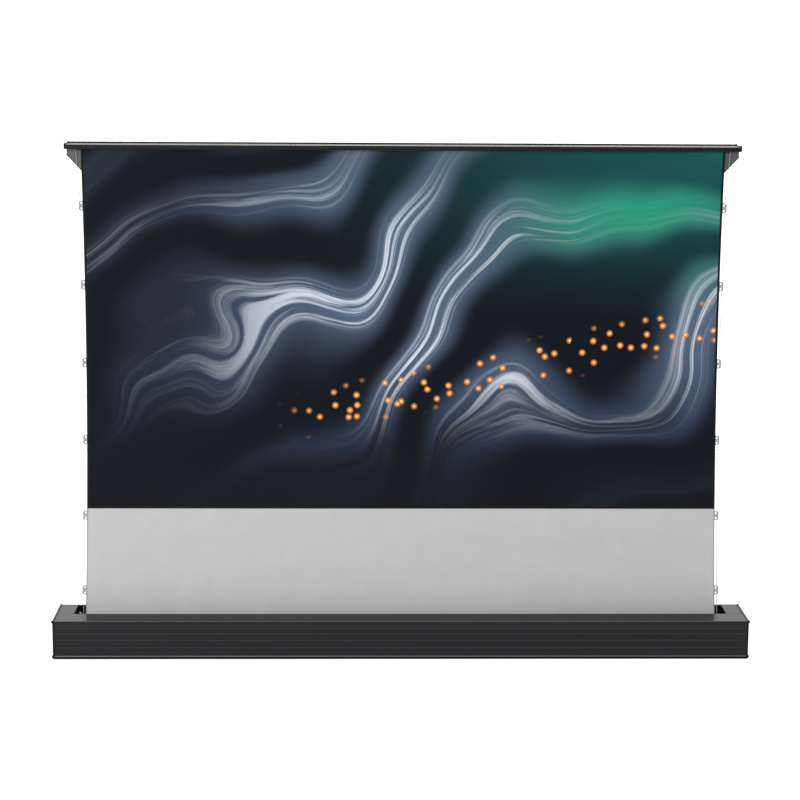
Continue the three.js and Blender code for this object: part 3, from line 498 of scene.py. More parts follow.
def by_rule(name, maker, host=None, angle=0.6, **values):
    """An object whose mesh a node group makes from these values; its tree is made when first asked for."""
    tree = bpy.data.node_groups.get(RULES[maker]) or maker(RULES[maker])
    obj = bpy.data.objects.new(name, host or bpy.data.meshes.new(name))
    bpy.context.scene.collection.objects.link(obj)
    modifier = obj.modifiers.new("Rule", "NODES")
    modifier.node_group = tree
    for socket in tree.interface.items_tree:
        key = socket.name.replace(" ", "_")
        if socket.item_type == "SOCKET" and socket.in_out == "INPUT" and key in values:
            modifier[socket.identifier] = values[key]
    baked(obj)
    obj.data.shade_smooth()
    obj.data.set_sharp_from_angle(angle=angle)
    return obj


EDGE_INPUTS = "Waist Waist_rise Bow Slot_line Middle "


def edge_values(middle):
    """The edge rule's values for a node group."""
    bow = {"Bow": sizes().edge_bow, "Slot_line": FABRIC_LINE, "Middle": middle}
    return {"Waist": WAIST, "Waist_rise": WAIST - CASE_TOP, **bow}


def half_width(node, rule, z):
    """The edge rule as nodes: half the fabric's width at height z."""
    away = node("Math.DIVIDE", node("Math.SUBTRACT", z, rule["Waist"]), rule["Waist_rise"])
    pull = node("Math.SUBTRACT", 1.0, node("Math.MULTIPLY", away, away))
    return node("Math.SUBTRACT", rule["Slot_line"], node("Math.MULTIPLY", pull, rule["Bow"]))


def bowed_panel_tree(name):
    """A thin closed panel between two heights whose sides follow the edge rule.

    Its left side is Left_side times the half width plus Left_inset, and its right side likewise.
    One column on each side and one row below are as wide as Edging and take the Edging_finish.
    """
    node, rule, close = rule_tree(
        name,
        Float=EDGE_INPUTS + "Bottom Top Left_side Left_inset Right_side Right_inset Edging Thickness",
        Int="Columns Rows",
        Material="Finish Edging_finish Rear_finish",
    )
    columns, rows, edging = rule["Columns"], rule["Rows"], rule["Edging"]
    grid = node("GeometryNodeMeshGrid", 1.0, 1.0, node("Math.ADD", columns, 1), node("Math.ADD", rows, 1))
    at = node("SeparateXYZ", node("GeometryNodeInputPosition"))
    column = node("Math.MULTIPLY", node("Math.ADD", at.outputs["X"], 0.5), columns)
    row = node("Math.MULTIPLY", node("Math.ADD", at.outputs["Y"], 0.5), rows)
    even = node("MapRange", row, 1.0, rows, node("Math.ADD", rule["Bottom"], edging), rule["Top"])
    lowest = node("Math.LESS_THAN", row, 0.5)
    z = node("Math.SUBTRACT", even, node("Math.MULTIPLY", lowest, edging))
    half = half_width(node, rule, z)
    left = node("Math.MULTIPLY_ADD", half, rule["Left_side"], rule["Left_inset"])
    right = node("Math.MULTIPLY_ADD", half, rule["Right_side"], rule["Right_inset"])
    inner = node("Math.ADD", left, edging), node("Math.SUBTRACT", right, edging)
    even = node("MapRange", column, 1.0, node("Math.ADD", columns, -1), *inner)
    first = node("Math.LESS_THAN", column, 0.5)
    past = node("Math.GREATER_THAN", column, node("Math.ADD", columns, -0.5))
    x = node("Math.MULTIPLY_ADD", node("Math.SUBTRACT", past, first), edging, even)
    rear = node("Math.MULTIPLY_ADD", rule["Thickness"], 0.5, rule["Middle"])
    placed = node("GeometryNodeSetPosition", grid, True, node("CombineXYZ", x, rear, z))
    forward = node("CombineXYZ", 0.0, node("Math.MULTIPLY", rule["Thickness"], -1.0))
    way = {"Offset": forward, "Offset Scale": 1.0, "Individual": False}
    grown = node("GeometryNodeExtrudeMesh", {"Mesh": placed, **way}, mode="FACES")
    both = node("GeometryNodeJoinGeometry")
    for part in (grown, node("GeometryNodeFlipFaces", placed)):
        both.id_data.links.new(part.outputs["Mesh"], both.inputs[0])
    whole = node("GeometryNodeMergeByDistance", {"Geometry": both, "Distance": 1e-6})
    # The edging is painted over the panel's own finish, and the coat over all that looks to the back.
    here = node("SeparateXYZ", node("GeometryNodeInputPosition"))
    reach = half_width(node, rule, here.outputs["Z"])
    inside = node("Math.SUBTRACT", reach, node("Math.ABSOLUTE", here.outputs["X"]))
    rise = node("Math.SUBTRACT", here.outputs["Z"], rule["Bottom"])
    margin = node("Math.LESS_THAN", node("Math.MINIMUM", inside, rise), edging)
    facing = node("SeparateXYZ", node("GeometryNodeInputNormal"))
    backs = node("Math.GREATER_THAN", facing.outputs["Y"], 0.5)
    return close(whole, (margin, "Edging_finish"), (backs, "Rear_finish"))


def tab_row_tree(name):
    """Copies one tab at even heights along a side, turned with the bowed edge."""
    node, rule, close = rule_tree(name, Float=EDGE_INPUTS + "First Pitch Side", Int="Count", Object="Tab")
    line = node("GeometryNodeMeshLine", {"Count": rule["Count"]}, mode="OFFSET")
    z = node("Math.MULTIPLY_ADD", node("GeometryNodeInputIndex"), rule["Pitch"], rule["First"])
    half = half_width(node, rule, z)
    x = node("Math.MULTIPLY", half, rule["Side"])
    placed = node("GeometryNodeSetPosition", line, True, node("CombineXYZ", x, rule["Middle"], z))
    ahead = node("Math.SUBTRACT", half_width(node, rule, node("Math.ADD", z, MM)), half)
    lean = node("Math.ARCTANGENT", node("Math.DIVIDE", ahead, MM))
    turn = node("CombineXYZ", 0.0, node("Math.MULTIPLY", lean, rule["Side"]))
    shape = node("GeometryNodeObjectInfo", rule["Tab"]).outputs["Geometry"]
    places = {"Points": placed, "Instance": shape, "Rotation": turn}
    return close(node("GeometryNodeInstanceOnPoints", places))


def screw_tree(name):
    """Copies one screw to the host's points, facing as each point says and turned by chance."""
    node, rule, close = rule_tree(name, Int="Seed", Object="Screw")
    facing = node("GeometryNodeInputNamedAttribute", {"Name": "facing"}, data_type="FLOAT_VECTOR")
    chance = {"Min": 0.0, "Max": 2 * math.pi, "Seed": rule["Seed"]}
    turn = node("FunctionNodeRandomValue", chance, data_type="FLOAT")
    aimed = node("FunctionNodeAlignRotationToVector", {"Vector": facing.outputs["Attribute"]}, axis="Z")
    spin = node("CombineXYZ", 0.0, 0.0, turn)
    spun = node("FunctionNodeRotateRotation", aimed, spin, rotation_space="LOCAL")
    shape = node("GeometryNodeObjectInfo", rule["Screw"]).outputs["Geometry"]
    places = {"Points": rule["Geometry"], "Instance": shape, "Rotation": spun}
    return close(node("GeometryNodeInstanceOnPoints", places))


def spring_tree(name):
    """A flat spring strip wound from an inner to an outer radius."""
    node, rule, close = rule_tree(name, Float="Inner Outer Turns Strip_width Strip_thickness")
    radii = {"Start Radius": rule["Inner"], "End Radius": rule["Outer"], "Height": 0.0}
    spiral = node("GeometryNodeCurveSpiral", {"Resolution": 44, "Rotations": rule["Turns"], **radii})
    strip = node("GeometryNodeCurvePrimitiveQuadrilateral", rule["Strip_thickness"], rule["Strip_width"])
    return close(node("GeometryNodeCurveToMesh", {"Curve": spiral, "Profile Curve": strip, "Fill Caps": True}))


RULES = {
    bowed_panel_tree: "Bowed panel",
    tab_row_tree: "Tab row",
    screw_tree: "Screws",
    spring_tree: "Flat spring",
}


# Finishes

# For each finish: its slot; its light and dark colour, written, or one of the screen's own and two factors; the
# grain's size in millimetres; the least and greatest roughness; the relief in micrometres; how much it shines; and
# what else it needs. The relief is left out where it is 0.
FINISHES = {
    # Bead-blasted and anodised: an even satin black with fine lines along the extrusion.
    "satin anodised black": ("satin_black_aluminium", ("case_black", 1.15, 0.85), 1.1, (0.3, 0.4), 8, 0.17,
                             {"stretch": (0.02, 1, 1)}),
    # Flanks of the grooves that face up to the front: a lighter copy of the black with a little more shine,
    # painted light where the lamp above falls on them.
    "polished groove flank": ("satin_black_aluminium", ("case_black", 1.25, 1), 1.1, (0.3, 0.38), 6, 0.19,
                              {"stretch": (0.02, 1, 1)}),
    # Top edge and lowest groove flank: a much paler black with a strong shine, a painted highlight line.
    "bright-cut edge": ("satin_black_aluminium", ("343538", "2a2b2d"), 2, (0.3, 0.4), 8, 0.55,
                        {"stretch": (0.02, 1, 1)}),
    # Injection-moulded ABS: matt with a fine leather grain, about 0.8 mm.
    "grained moulded plastic": ("moulded_black_plastic", ("plastic_black", 1.2, 0.8), 0.8, (0.62, 0.75), 30,
                                0.08),
    # End plates: the same plastic with a finer, satin face.
    "satin moulded plastic": ("moulded_black_plastic", ("plastic_black", 1.2, 0.8), 0.6, (0.38, 0.48), 10, 0.1),
    # Zinc-plated pressed steel: pale, slightly blue patches with a soft shine.
    "zinc-plated steel": ("zinc_plated_steel", ("b4b9be", "8d9094"), 6, (0.32, 0.5), 10, 0.5,
                          {"detail": 5.0, "Metallic": 1.0}),
    # Powder-coated steel: even grey with orange-peel relief of about 1.5 mm.
    "grey powder coat": ("grey_painted_steel", ("434547", "3b3d3f"), 1.5, (0.42, 0.55), 30, 0.3),
    # Anodised extruded tube: darker and a little glossier, lines along its length.
    "anodised arm tube": ("black_anodised_arms", ("arm_black", 1.2, 0.8), 1.2, (0.32, 0.42), 8, 0.35,
                          {"stretch": (0.3, 1, 0.3)}),
    # Blued spring steel: dark with a faint blue temper and oiled shine.
    "blued spring steel": ("black_spring_steel", ("3a414b", "23272e"), 4, (0.28, 0.42), 0, 0.5, {"Metallic": 1.0}),
    # Die-cast aluminium: dull grey, cloudy, with a sandy skin of about 1 mm.
    "die-cast aluminium": ("cast_alloy", ("85888b", "65686b"), 1.2, (0.45, 0.62), 40, 0.5,
                           {"detail": 6.0, "Metallic": 0.9}),
    # Mill-finish drawn aluminium: bright with faint turning lines round its axis.
    "drawn aluminium": ("bright_aluminium", ("d2d4d6", "b4b6b8"), 1.5, (0.25, 0.36), 6, 0.5,
                        {"stretch": (1, 0.05, 0.05), "Metallic": 1.0}),
    # Unfilled nylon: warm white, waxy, with a soft depth.
    "white nylon": ("white_nylon", ("efeee8", "e2e0d8"), 3, (0.4, 0.52), 10, 0.5,
                    {"Subsurface Weight": 0.12, "Subsurface Scale": 2 * MM}),
    # Clear polyurethane film, stamped: milky where it is thick, with a glossy face.
    "clear tab plastic": ("clear_tab_plastic", ("tab_clear", 1.05, 0.9), 4, (0.18, 0.3), 20, 0.5,
                          {"Transmission Weight": 0.2, "IOR": 1.49}),
    # Braided polyester: dull grey; the strands are in the shape, the fibres in the grain.
    "polyester braid": ("tension_cord", ("cord_grey", 1.15, 0.8), 0.7, (0.7, 0.85), 50, 0.3),
    # Coated glass-fibre cloth: even, faintly cloudy grey over the threads that woven() draws.
    "coated grey cloth": ("grey_fabric", ("fabric_grey", 1.03, 0.97), 90, (0.8, 0.85), 0, 0.25, {"detail": 4.0}),
    # The cloth's rear is coated to stop light: dull charcoal, slightly cloudy.
    "black rear coat": ("picture_fabric", ("222325", "1a1b1d"), 50, (0.65, 0.78), 20, 0.2),
    # Heat-sealed side edge of the cloth: a slightly darker grey band.
    "sealed selvedge": ("grey_fabric", ("7b7b7c", "727273"), 4, (0.6, 0.7), 10, 0.25),
    # Crimped eyelets in the tabs: dull dark grey.
    "crimped eyelet": ("clear_tab_plastic", ("727578", "5d6063"), 1.5, (0.4, 0.5), 10, 0.3),
    # Printed border round the picture: matt near-black.
    "printed black edging": ("picture_fabric", ("0a0b0d", "060708"), 2, (0.6, 0.7), 10, 0.1),
    # Welded tape: translucent white film over the cloth's edge.
    "welded tape": ("clear_tab_plastic", ("c3c5c6", "b5b7b8"), 3, (0.35, 0.5), 20, 0.4),
    # Moulded rubber: black, dull, faintly dusty.
    "foot rubber": ("foot_rubber", ("08080a", "040405"), 2, (0.75, 0.9), 40, 0.03),
    # Black-oxide screws: dark grey steel with an oiled shine.
    "black oxide steel": ("zinc_plated_steel", ("34353a", "222326"), 1, (0.35, 0.5), 8, 0.5, {"Metallic": 1.0}),
    # Tinned brass contacts: pale, warm and shiny.
    "tinned brass": ("moulded_black_plastic", ("c9c6b8", "a9a698"), 2, (0.25, 0.4), 0, 0.5, {"Metallic": 1.0}),
    # Studio floor lit from below, so that the object stands on white.
    "studio floor": (None, ("c2c2c2", "bcbcbc"), 300, (0.8, 0.9), 0, 0.5,
                     {"Emission Color": (1, 1, 1, 1), "Emission Strength": 0.5}),
    # The picture's own colours and relief are in printed_picture().
    "printed picture": ("picture_fabric",),
}


def shades(first, *rest):
    """The light and dark colour of a finish: two written ones, or one of the screen's own by two factors."""
    if first in ScreenColours.__annotations__:
        return [[min(1, c * by) for c in getattr(colours(), first)] for by in rest]
    return [linear(first), *map(linear, rest)]


def blank(name):
    """A new material, with the function that adds its nodes and its surface."""
    made = bpy.data.materials.new(name)
    made.use_nodes = True
    return partial(add, made.node_tree), made.node_tree.nodes["Principled BSDF"]


def feeds(source, surface, socket):
    surface.id_data.links.new(next(o for o in source.outputs if o.enabled), surface.inputs[socket])


def grained(name):
    """A finish whose colour, gloss and relief vary with one grain."""
    _, colour, grain, rough, relief, shine, *more = FINISHES[name]
    more = {"stretch": (1, 1, 1), "detail": 3.0, **(more[0] if more else {})}
    light, dark = shades(*colour)
    node, surface = blank(name)
    scaled = node("Mapping", {"Vector": node("TexCoord").outputs["Object"], "Scale": more.pop("stretch")})
    fineness = {"Scale": 1 / (grain * MM), "Detail": more.pop("detail"), "Roughness": 0.6}
    noise = node("TexNoise", {"Vector": scaled, **fineness})
    share = node("MapRange", noise.outputs["Fac"], 0.3, 0.7)
    feeds(node("Mix", {"Factor": share, 6: (*dark, 1), 7: (*light, 1)}, data_type="RGBA"), surface, "Base Color")
    feeds(node("MapRange", {"Value": share, "To Min": rough[0], "To Max": rough[1]}), surface, "Roughness")
    if relief:
        feeds(node("Bump", {"Height": noise.outputs["Fac"], "Distance": relief * MM / 1000}), surface, "Normal")
    for key, value in {"Specular IOR Level": shine, **more}.items():
        surface.inputs[key].default_value = value


THREAD, THREAD_RELIEF = 1.6 * MM, 0.012 * MM  # the cloth's real threads are 0.4 mm, too fine to show


def woven(name):
    """Plain-woven cloth: threads over and under along X and Z."""
    grained(name)
    tree = bpy.data.materials[name].node_tree
    node, surface = partial(add, tree), tree.nodes["Principled BSDF"]
    at = node("SeparateXYZ", node("TexCoord").outputs["Object"])
    waves = [node("Math.SINE", node("Math.MULTIPLY", at.outputs[axis], math.pi / THREAD)) for axis in "XZ"]
    over = node("Math.MULTIPLY", *waves)
    feeds(node("Bump", {"Height": over, "Distance": THREAD_RELIEF}), surface, "Normal")


def printed_picture(name):
    """Matt printed picture: ribbons of dark silk that rise to the right.

    To the eye it is a dark, cool picture: deep blue on the left, slate folds with thin pale crests across
    the middle, a green sheen high on the right, a trail of small amber sparks and a near-black foot.
    """
    tone = colours()
    node, surface = blank(name)
    flat = {"noise_dimensions": "2D"}

    ramp = partial(node, "MapRange", interpolation_type="SMOOTHSTEP")
    x, _, z = node("SeparateXYZ", node("TexCoord").outputs["Object"]).outputs
    plain = node("CombineXYZ", x, z)
    across = node("MapRange", x, -FABRIC_LINE, FABRIC_LINE)
    rise = node("MapRange", z, SEAM, LID_FOOT)

    # The ribbons follow lines that rise to the right and wander slowly.
    slow = node("TexNoise", {"Vector": plain, "Scale": 0.95, "Detail": 2.0, "Roughness": 0.4}, **flat)
    flow = node("Math.MULTIPLY_ADD", slow, 1.25, node("Math.MULTIPLY_ADD", x, -0.5, z))
    turn = node("Math.MULTIPLY_ADD", flow, 2 * math.pi * 2.4, 2.2)
    fold = node("Math.SINE", turn)
    body = ramp(fold, -0.9, 1.0)
    under = ramp(node("Math.SINE", node("Math.MULTIPLY_ADD", turn, 2.3, 1.1)), -1.0, 1.0, 0.25, 1.0)
    # Threads of light run along each ribbon.
    along = node("CombineXYZ", node("Math.MULTIPLY", flow, 34.0), node("Math.MULTIPLY", x, 1.3))
    wisps = {"Scale": 1.0, "Detail": 6.0, "Roughness": 0.62, "Distortion": 0.5}
    bright = ramp(node("TexNoise", {"Vector": along, **wisps}, **flat), 0.44, 0.68)
    crest = ramp(fold, 0.25, 0.95)
    from_left = ramp(across, 0.12, 0.5, 0.12, 1.0)
    from_foot = ramp(rise, 0.16, 0.5, 0.02, 1.0)
    from_top = ramp(rise, 0.98, 0.7, 0.1, 1.0)
    # A sheen round one point high on the right.
    aside = node("Math.MULTIPLY_ADD", across, 2.6, -2.25)
    over = node("Math.MULTIPLY_ADD", rise, 2.0, -1.7)
    away = node("Math.SQRT", node("Math.MULTIPLY_ADD", aside, aside, node("Math.MULTIPLY", over, over)))
    halo = ramp(away, 0.7, 0.0)
    # Sparks: small dots scattered along one ribbon only.
    cells = node("TexVoronoi", {"Vector": plain, "Scale": 22.0, "Randomness": 1.0}, voronoi_dimensions="2D")
    picked = node("Math.GREATER_THAN", node("SeparateColor", cells.outputs["Color"]), 0.45)
    dots = ramp(cells.outputs["Distance"], 0.3, 0.16)
    hearts = ramp(cells.outputs["Distance"], 0.14, 0.05)
    line = node("Math.ABSOLUTE", node("Math.SUBTRACT", node("Math.MULTIPLY_ADD", across, 0.42, 0.12), rise))
    trail = node("Math.MULTIPLY", ramp(line, 0.075, 0.03), ramp(across, 0.3, 0.4))
    trail = node("Math.MULTIPLY", trail, picked)

    layers = (
        ((body, under, ramp(across, 0.0, 0.5, 0.12, 1.0)), linear("25334a"), 0.85),
        ((body, from_left, from_foot), linear("5a6a80"), 0.6),
        ((crest, bright, from_left, from_foot, from_top), linear("d3dae4"), 0.95),
        ((ramp(across, 0.3, 1.0), ramp(rise, 0.5, 1.0)), linear("12494a"), 0.9),
        ((halo, body), tone.picture_glow, 0.9),
        ((trail, dots), tone.picture_warm, 0.9),
        ((trail, hearts), linear("f1cf92"), 0.9),
        ((ramp(rise, 0.3, 0.06),), linear("0d0f14"), 0.85),
    )
    shown = (*tone.picture_deep, 1)
    for shares, ink, most in layers:
        share = most
        for part in shares:
            share = node("Math.MULTIPLY", part, share)
        shown = node("Mix", {0: share, 6: shown, 7: (*ink, 1)}, data_type="RGBA")
    # The print's dots are too fine to show; a slow drift of ink stands for them.
    drift = node("TexNoise", {"Vector": plain, "Scale": 160.0, "Detail": 2.0}, **flat)
    ink = node("MapRange", drift, 0.0, 1.0, 0.72, 0.84)
    feeds(node("Mix", {0: 1.0, 6: shown, 7: ink}, data_type="RGBA", blend_type="MULTIPLY"), surface, "Base Color")
    surface.inputs["Roughness"].default_value = 0.62
    surface.inputs["Specular IOR Level"].default_value = 0.06
    weave = node("TexNoise", {"Vector": plain, "Scale": 700.0, "Detail": 1.0}, **flat)
    feeds(node("Bump", {"Height": weave, "Distance": 0.03 * MM}), surface, "Normal")


def material(name):
    """The finish of that name, made when it is first asked for."""
    if name not in bpy.data.materials:
        {"printed picture": printed_picture, "coated grey cloth": woven}.get(name, grained)(name)
    return bpy.data.materials[name]


# Screws


def socket_screw(radius, height):
    """A button-head screw with a hexagon socket; its seat is at the origin and it faces +Z."""
    bm = bmesh.new()

    def loop(across, up, sides=20):
        return [bm.verts.new((*p, height * up)) for p in circle(0, 0, radius * across, turns_of(sides))]

    def walls(one, two):
        for i in range(len(one)):
            bm.faces.new((one[i - 1], one[i], two[i], two[i - 1]))

    dome = [loop(*step) for step in ((1, 0), (1, 0.45), (0.93, 0.75), (0.78, 0.95), (0.7, 1))]
    for one, two in zip(dome, dome[1:]):
        walls(one, two)
    bm.faces.new(dome[0][::-1])
    mouth, bottom = (loop(0.52, up, 6) for up in (1, 0.35))
    edges = [bm.edges.get((dome[-1][i - 1], dome[-1][i])) for i in range(len(dome[-1]))]
    edges += [bm.edges.new((mouth[i - 1], mouth[i])) for i in range(6)]
    bmesh.ops.triangle_fill(bm, use_beauty=True, use_dissolve=False, edges=edges)
    walls(mouth, bottom)
    bm.faces.new(bottom)
    return faced_out(bm)


def screws(name, body, places, radius, height, finish="black oxide steel"):
    """Screw heads at (point, facing) places on one body."""
    pattern = joined(name + "_pattern", [socket_screw(radius, height)], [finish])
    host = bpy.data.meshes.new(name)
    host.from_pydata([tuple(point) for point, _ in places], [], [])
    facing = host.attributes.new("facing", "FLOAT_VECTOR", "POINT")
    facing.data.foreach_set("vector", np.array([way for _, way in places], float).ravel())
    obj = by_rule(name, screw_tree, host, Screw=pattern, Seed=len(places), Finish=material(finish))
    bpy.data.objects.remove(pattern)
    return settled(obj, body, finish)


# Case


GROOVES = (0.087, 0.314, 0.507, 0.679, 0.821, 0.886)  # places up the front, as shares of its height
REAR_GROOVES = (0.25, 0.75)
INLET_MARGIN = 3.7 * MM  # of the inlet's flange round its opening in the rear profile


def shell_section(outer, inward, slot, grooves):
    """Section of the front or rear profile."""
    size = sizes()
    flange, wall = outer + inward * SHELL_FLANGE, outer + inward * SHELL_WALL
    inner, floor, roof = slot - inward * SHELL_SKIN, SHELL_BOTTOM + SHELL_SKIN, CASE_TOP - SHELL_SKIN
    corners = [(flange, SHELL_BOTTOM, 0.4), (outer, SHELL_BOTTOM, 0.8)]
    for share in grooves:
        lower, upper = (CASE_TOP * share + way * size.groove_height / 2 for way in (-1, 1))
        corners += [(outer, lower, 0.5), (outer + inward * size.groove_depth, upper, 0.3), (outer, upper, 0.35)]
    corners += [(outer, CASE_TOP, size.corner_radius / MM), (slot, CASE_TOP, 1)]
    corners += [(slot, CASE_TOP - SLOT_LIP, 0.6), (inner, CASE_TOP - SLOT_LIP, 0.6), (inner, roof, 0.5)]
    return filleted([*corners, (wall, roof, 0.8), (wall, floor, 0.8), (flange, floor, 0.4)])


def build_shell():
    front = prism(shell_section(FRONT, 1, SLOT_FRONT, GROOVES), -SHELL_HALF, SHELL_HALF, "x")
    # Faces that slant up to the front take lighter copies of the black as painted light: the top edge and the
    # lowest groove a painted highlight, the other groove flanks a painted lit side.
    for face in front.faces:
        z = face.calc_center_median().z
        slant = 0.2 < face.normal.z < 0.97 and face.normal.y < -0.2
        # The top edge and the lowest flank take the painted highlight.
        cut = z > CASE_TOP - 5 * MM or z < 18 * MM
        face.material_index = (2 if cut else 3) if slant else 0
    # A soft black strip along the front's foot closes the gap to the floor; it is partly a rubber strip and partly
    # stands in for the shadow under the case, a painted shadow line.
    foot = (-SHELL_HALF, FRONT - 0.4 * MM, SHELL_BOTTOM - 1.2 * MM)
    strip = block(foot, (SHELL_HALF, FRONT + 12 * MM, SHELL_BOTTOM + 5 * MM), 0.4)
    finishes = ["satin anodised black", "foot rubber", "bright-cut edge", "polished groove flank"]
    piece("front_profile", "case", "case_front_profile", finishes, (front, None), (strip, 1))

    section = shell_section(REAR, -1, SLOT_REAR, REAR_GROOVES)
    (x0, z0), (x1, z1) = ((corner.x - way * INLET_MARGIN, corner.z - way * INLET_MARGIN)
                          for way, corner in zip((-1, 1), box("power_inlet")))
    solids = [prism(section, -SHELL_HALF, x0, "x"), prism(section, x1, SHELL_HALF, "x")]
    # At the inlet the profile is open between two heights.
    wall, flange, floor, skin = REAR - SHELL_WALL, REAR - SHELL_FLANGE, SHELL_BOTTOM + SHELL_SKIN, REAR - 2 * MM
    under = [(flange, SHELL_BOTTOM), (REAR, SHELL_BOTTOM), (REAR, z0), (wall, z0), (wall, floor), (flange, floor)]
    over = [p for p in section if p.y > z1 and p.x > skin]
    over += [p for p in section if p.y > CASE_TOP - 10 * MM and p.x <= skin]
    solids += [prism(outline, x0, x1, "x") for outline in (under, [(REAR, z1), *over, (wall, z1)])]
    piece("rear_profile", "case", "case_rear_profile", "satin anodised black", *solids)
    piece("floor_plate", "case", "case_floor_plate", "zinc-plated steel", block(*box("case_floor_plate"), 0.5))


def build_ends():
    places = []
    inner, field, outer = (SHELL_HALF + out for out in mm(0, 6, 9.8))
    for end, way in ENDS:
        (_, y0, z0), (_, y1, z1) = box(f"case_end_plate_{end}")
        plate = prism(rectangle(y0, z0, y1, z1, 4, 8), *at_end(way, inner, field), "x")
        soften(plate, 0.6, 3, within=lambda e: all(abs(v.co.x) > inner + MM for v in e.verts))
        solids = [plate]
        # A buffer stands out at each front corner.
        for foot, top in ((z0 + 4 * MM, z0 + 13 * MM), (z1 - 9 * MM, z1 - 0.4 * MM)):
            corners = [(way * inner, foot), (way * outer, foot, 3.2), (way * outer, top, 3.2), (way * inner, top)]
            solids.append(prism(filleted(corners, 8), y0 + GAP, y0 + 11 * MM, "y", soft=0.8, steps=3))
        x0, x1 = at_end(way, inner - 5 * MM, inner)
        spigot = (x0, FRONT + 3.5 * MM, FLOOR_PLATE_TOP + GAP), (x1, REAR - 3.5 * MM, CASE_TOP - 15.4 * MM)
        solids.append(block(*spigot))
        piece(f"end_plate_{end}", "case", f"case_end_plate_{end}", "satin moulded plastic", *solids)
        cover = refined(f"slot_end_cover_{end}", 0.5)
        piece(f"slot_cover_{end}", "case", f"slot_end_cover_{end}", "satin anodised black", cover)
        ys, zs = (FRONT + 16 * MM, REAR - 16 * MM), mm(22, 121)
        places += [((way * field, y, z), (way, 0, 0)) for y in ys for z in zs]
        for side in ("front", "rear"):
            foot_low, foot_high = box(f"foot_{side}_{end}")
            x, y, _ = (foot_low + foot_high) / 2
            r, h = (foot_high.x - foot_low.x) / 2, foot_high.z
            profile = [(0, 0), (r - MM, 0), (r - 0.3 * MM, 0.3 * MM), (r, MM), (r, h, 0.4), (0, h)]
            pad = turned(profile, "z", (x, y, 0))
            piece(f"pad_{side}_{end}", "case", f"foot_{side}_{end}", "foot rubber", pad)
    screws("end_plate_screws", "case", places, sizes().screw_radius, 1.5 * MM)


# Roller bay


def lead():
    """The angle at which the cloth leaves the roll, and the radii of its middle on the roll and the bar."""
    half = sizes().fabric_thickness / 2
    roll, bar = ROLL_RADIUS + half, GUIDE_RADIUS + GAP + half
    reach = (GUIDE - ROLLER).yz
    leave = math.atan2(reach.y, reach.x) - math.pi / 2 + math.asin((roll - bar) / reach.length)
    return leave, roll, bar


def around(centre, radius, angle):
    """A (y, z) place on a circle about a centre."""
    return Vector((centre.y + radius * math.cos(angle), centre.z + radius * math.sin(angle)))


def coil(turns, steps, inner, power=1):
    """Turns round the roller that end where the lead leaves it."""
    leave, roll, _ = lead()
    shares = [k / steps for k in range(steps + 1)]
    radii = [inner + (roll - inner) * share**power for share in shares]
    return [around(ROLLER, r, leave - 2 * math.pi * turns * (1 - share)) for share, r in zip(shares, radii)]


def band(points, half, thickness):
    """A thin closed strip that follows (y, z) points, half its width to each side of the middle."""
    bm = bmesh.new()
    rings = []
    for i, p in enumerate(points):
        ahead = (points[min(i + 1, len(points) - 1)] - points[max(i - 1, 0)]).normalized()
        out = Vector((ahead.y, -ahead.x)) * thickness / 2
        corners = ((-half, p + out), (half, p + out), (half, p - out), (-half, p - out))
        rings.append([bm.verts.new((x, *place)) for x, place in corners])
    return skinned(bm, rings)


MOTOR_BODY, TUBE_BORE = mm(20, 23.1)


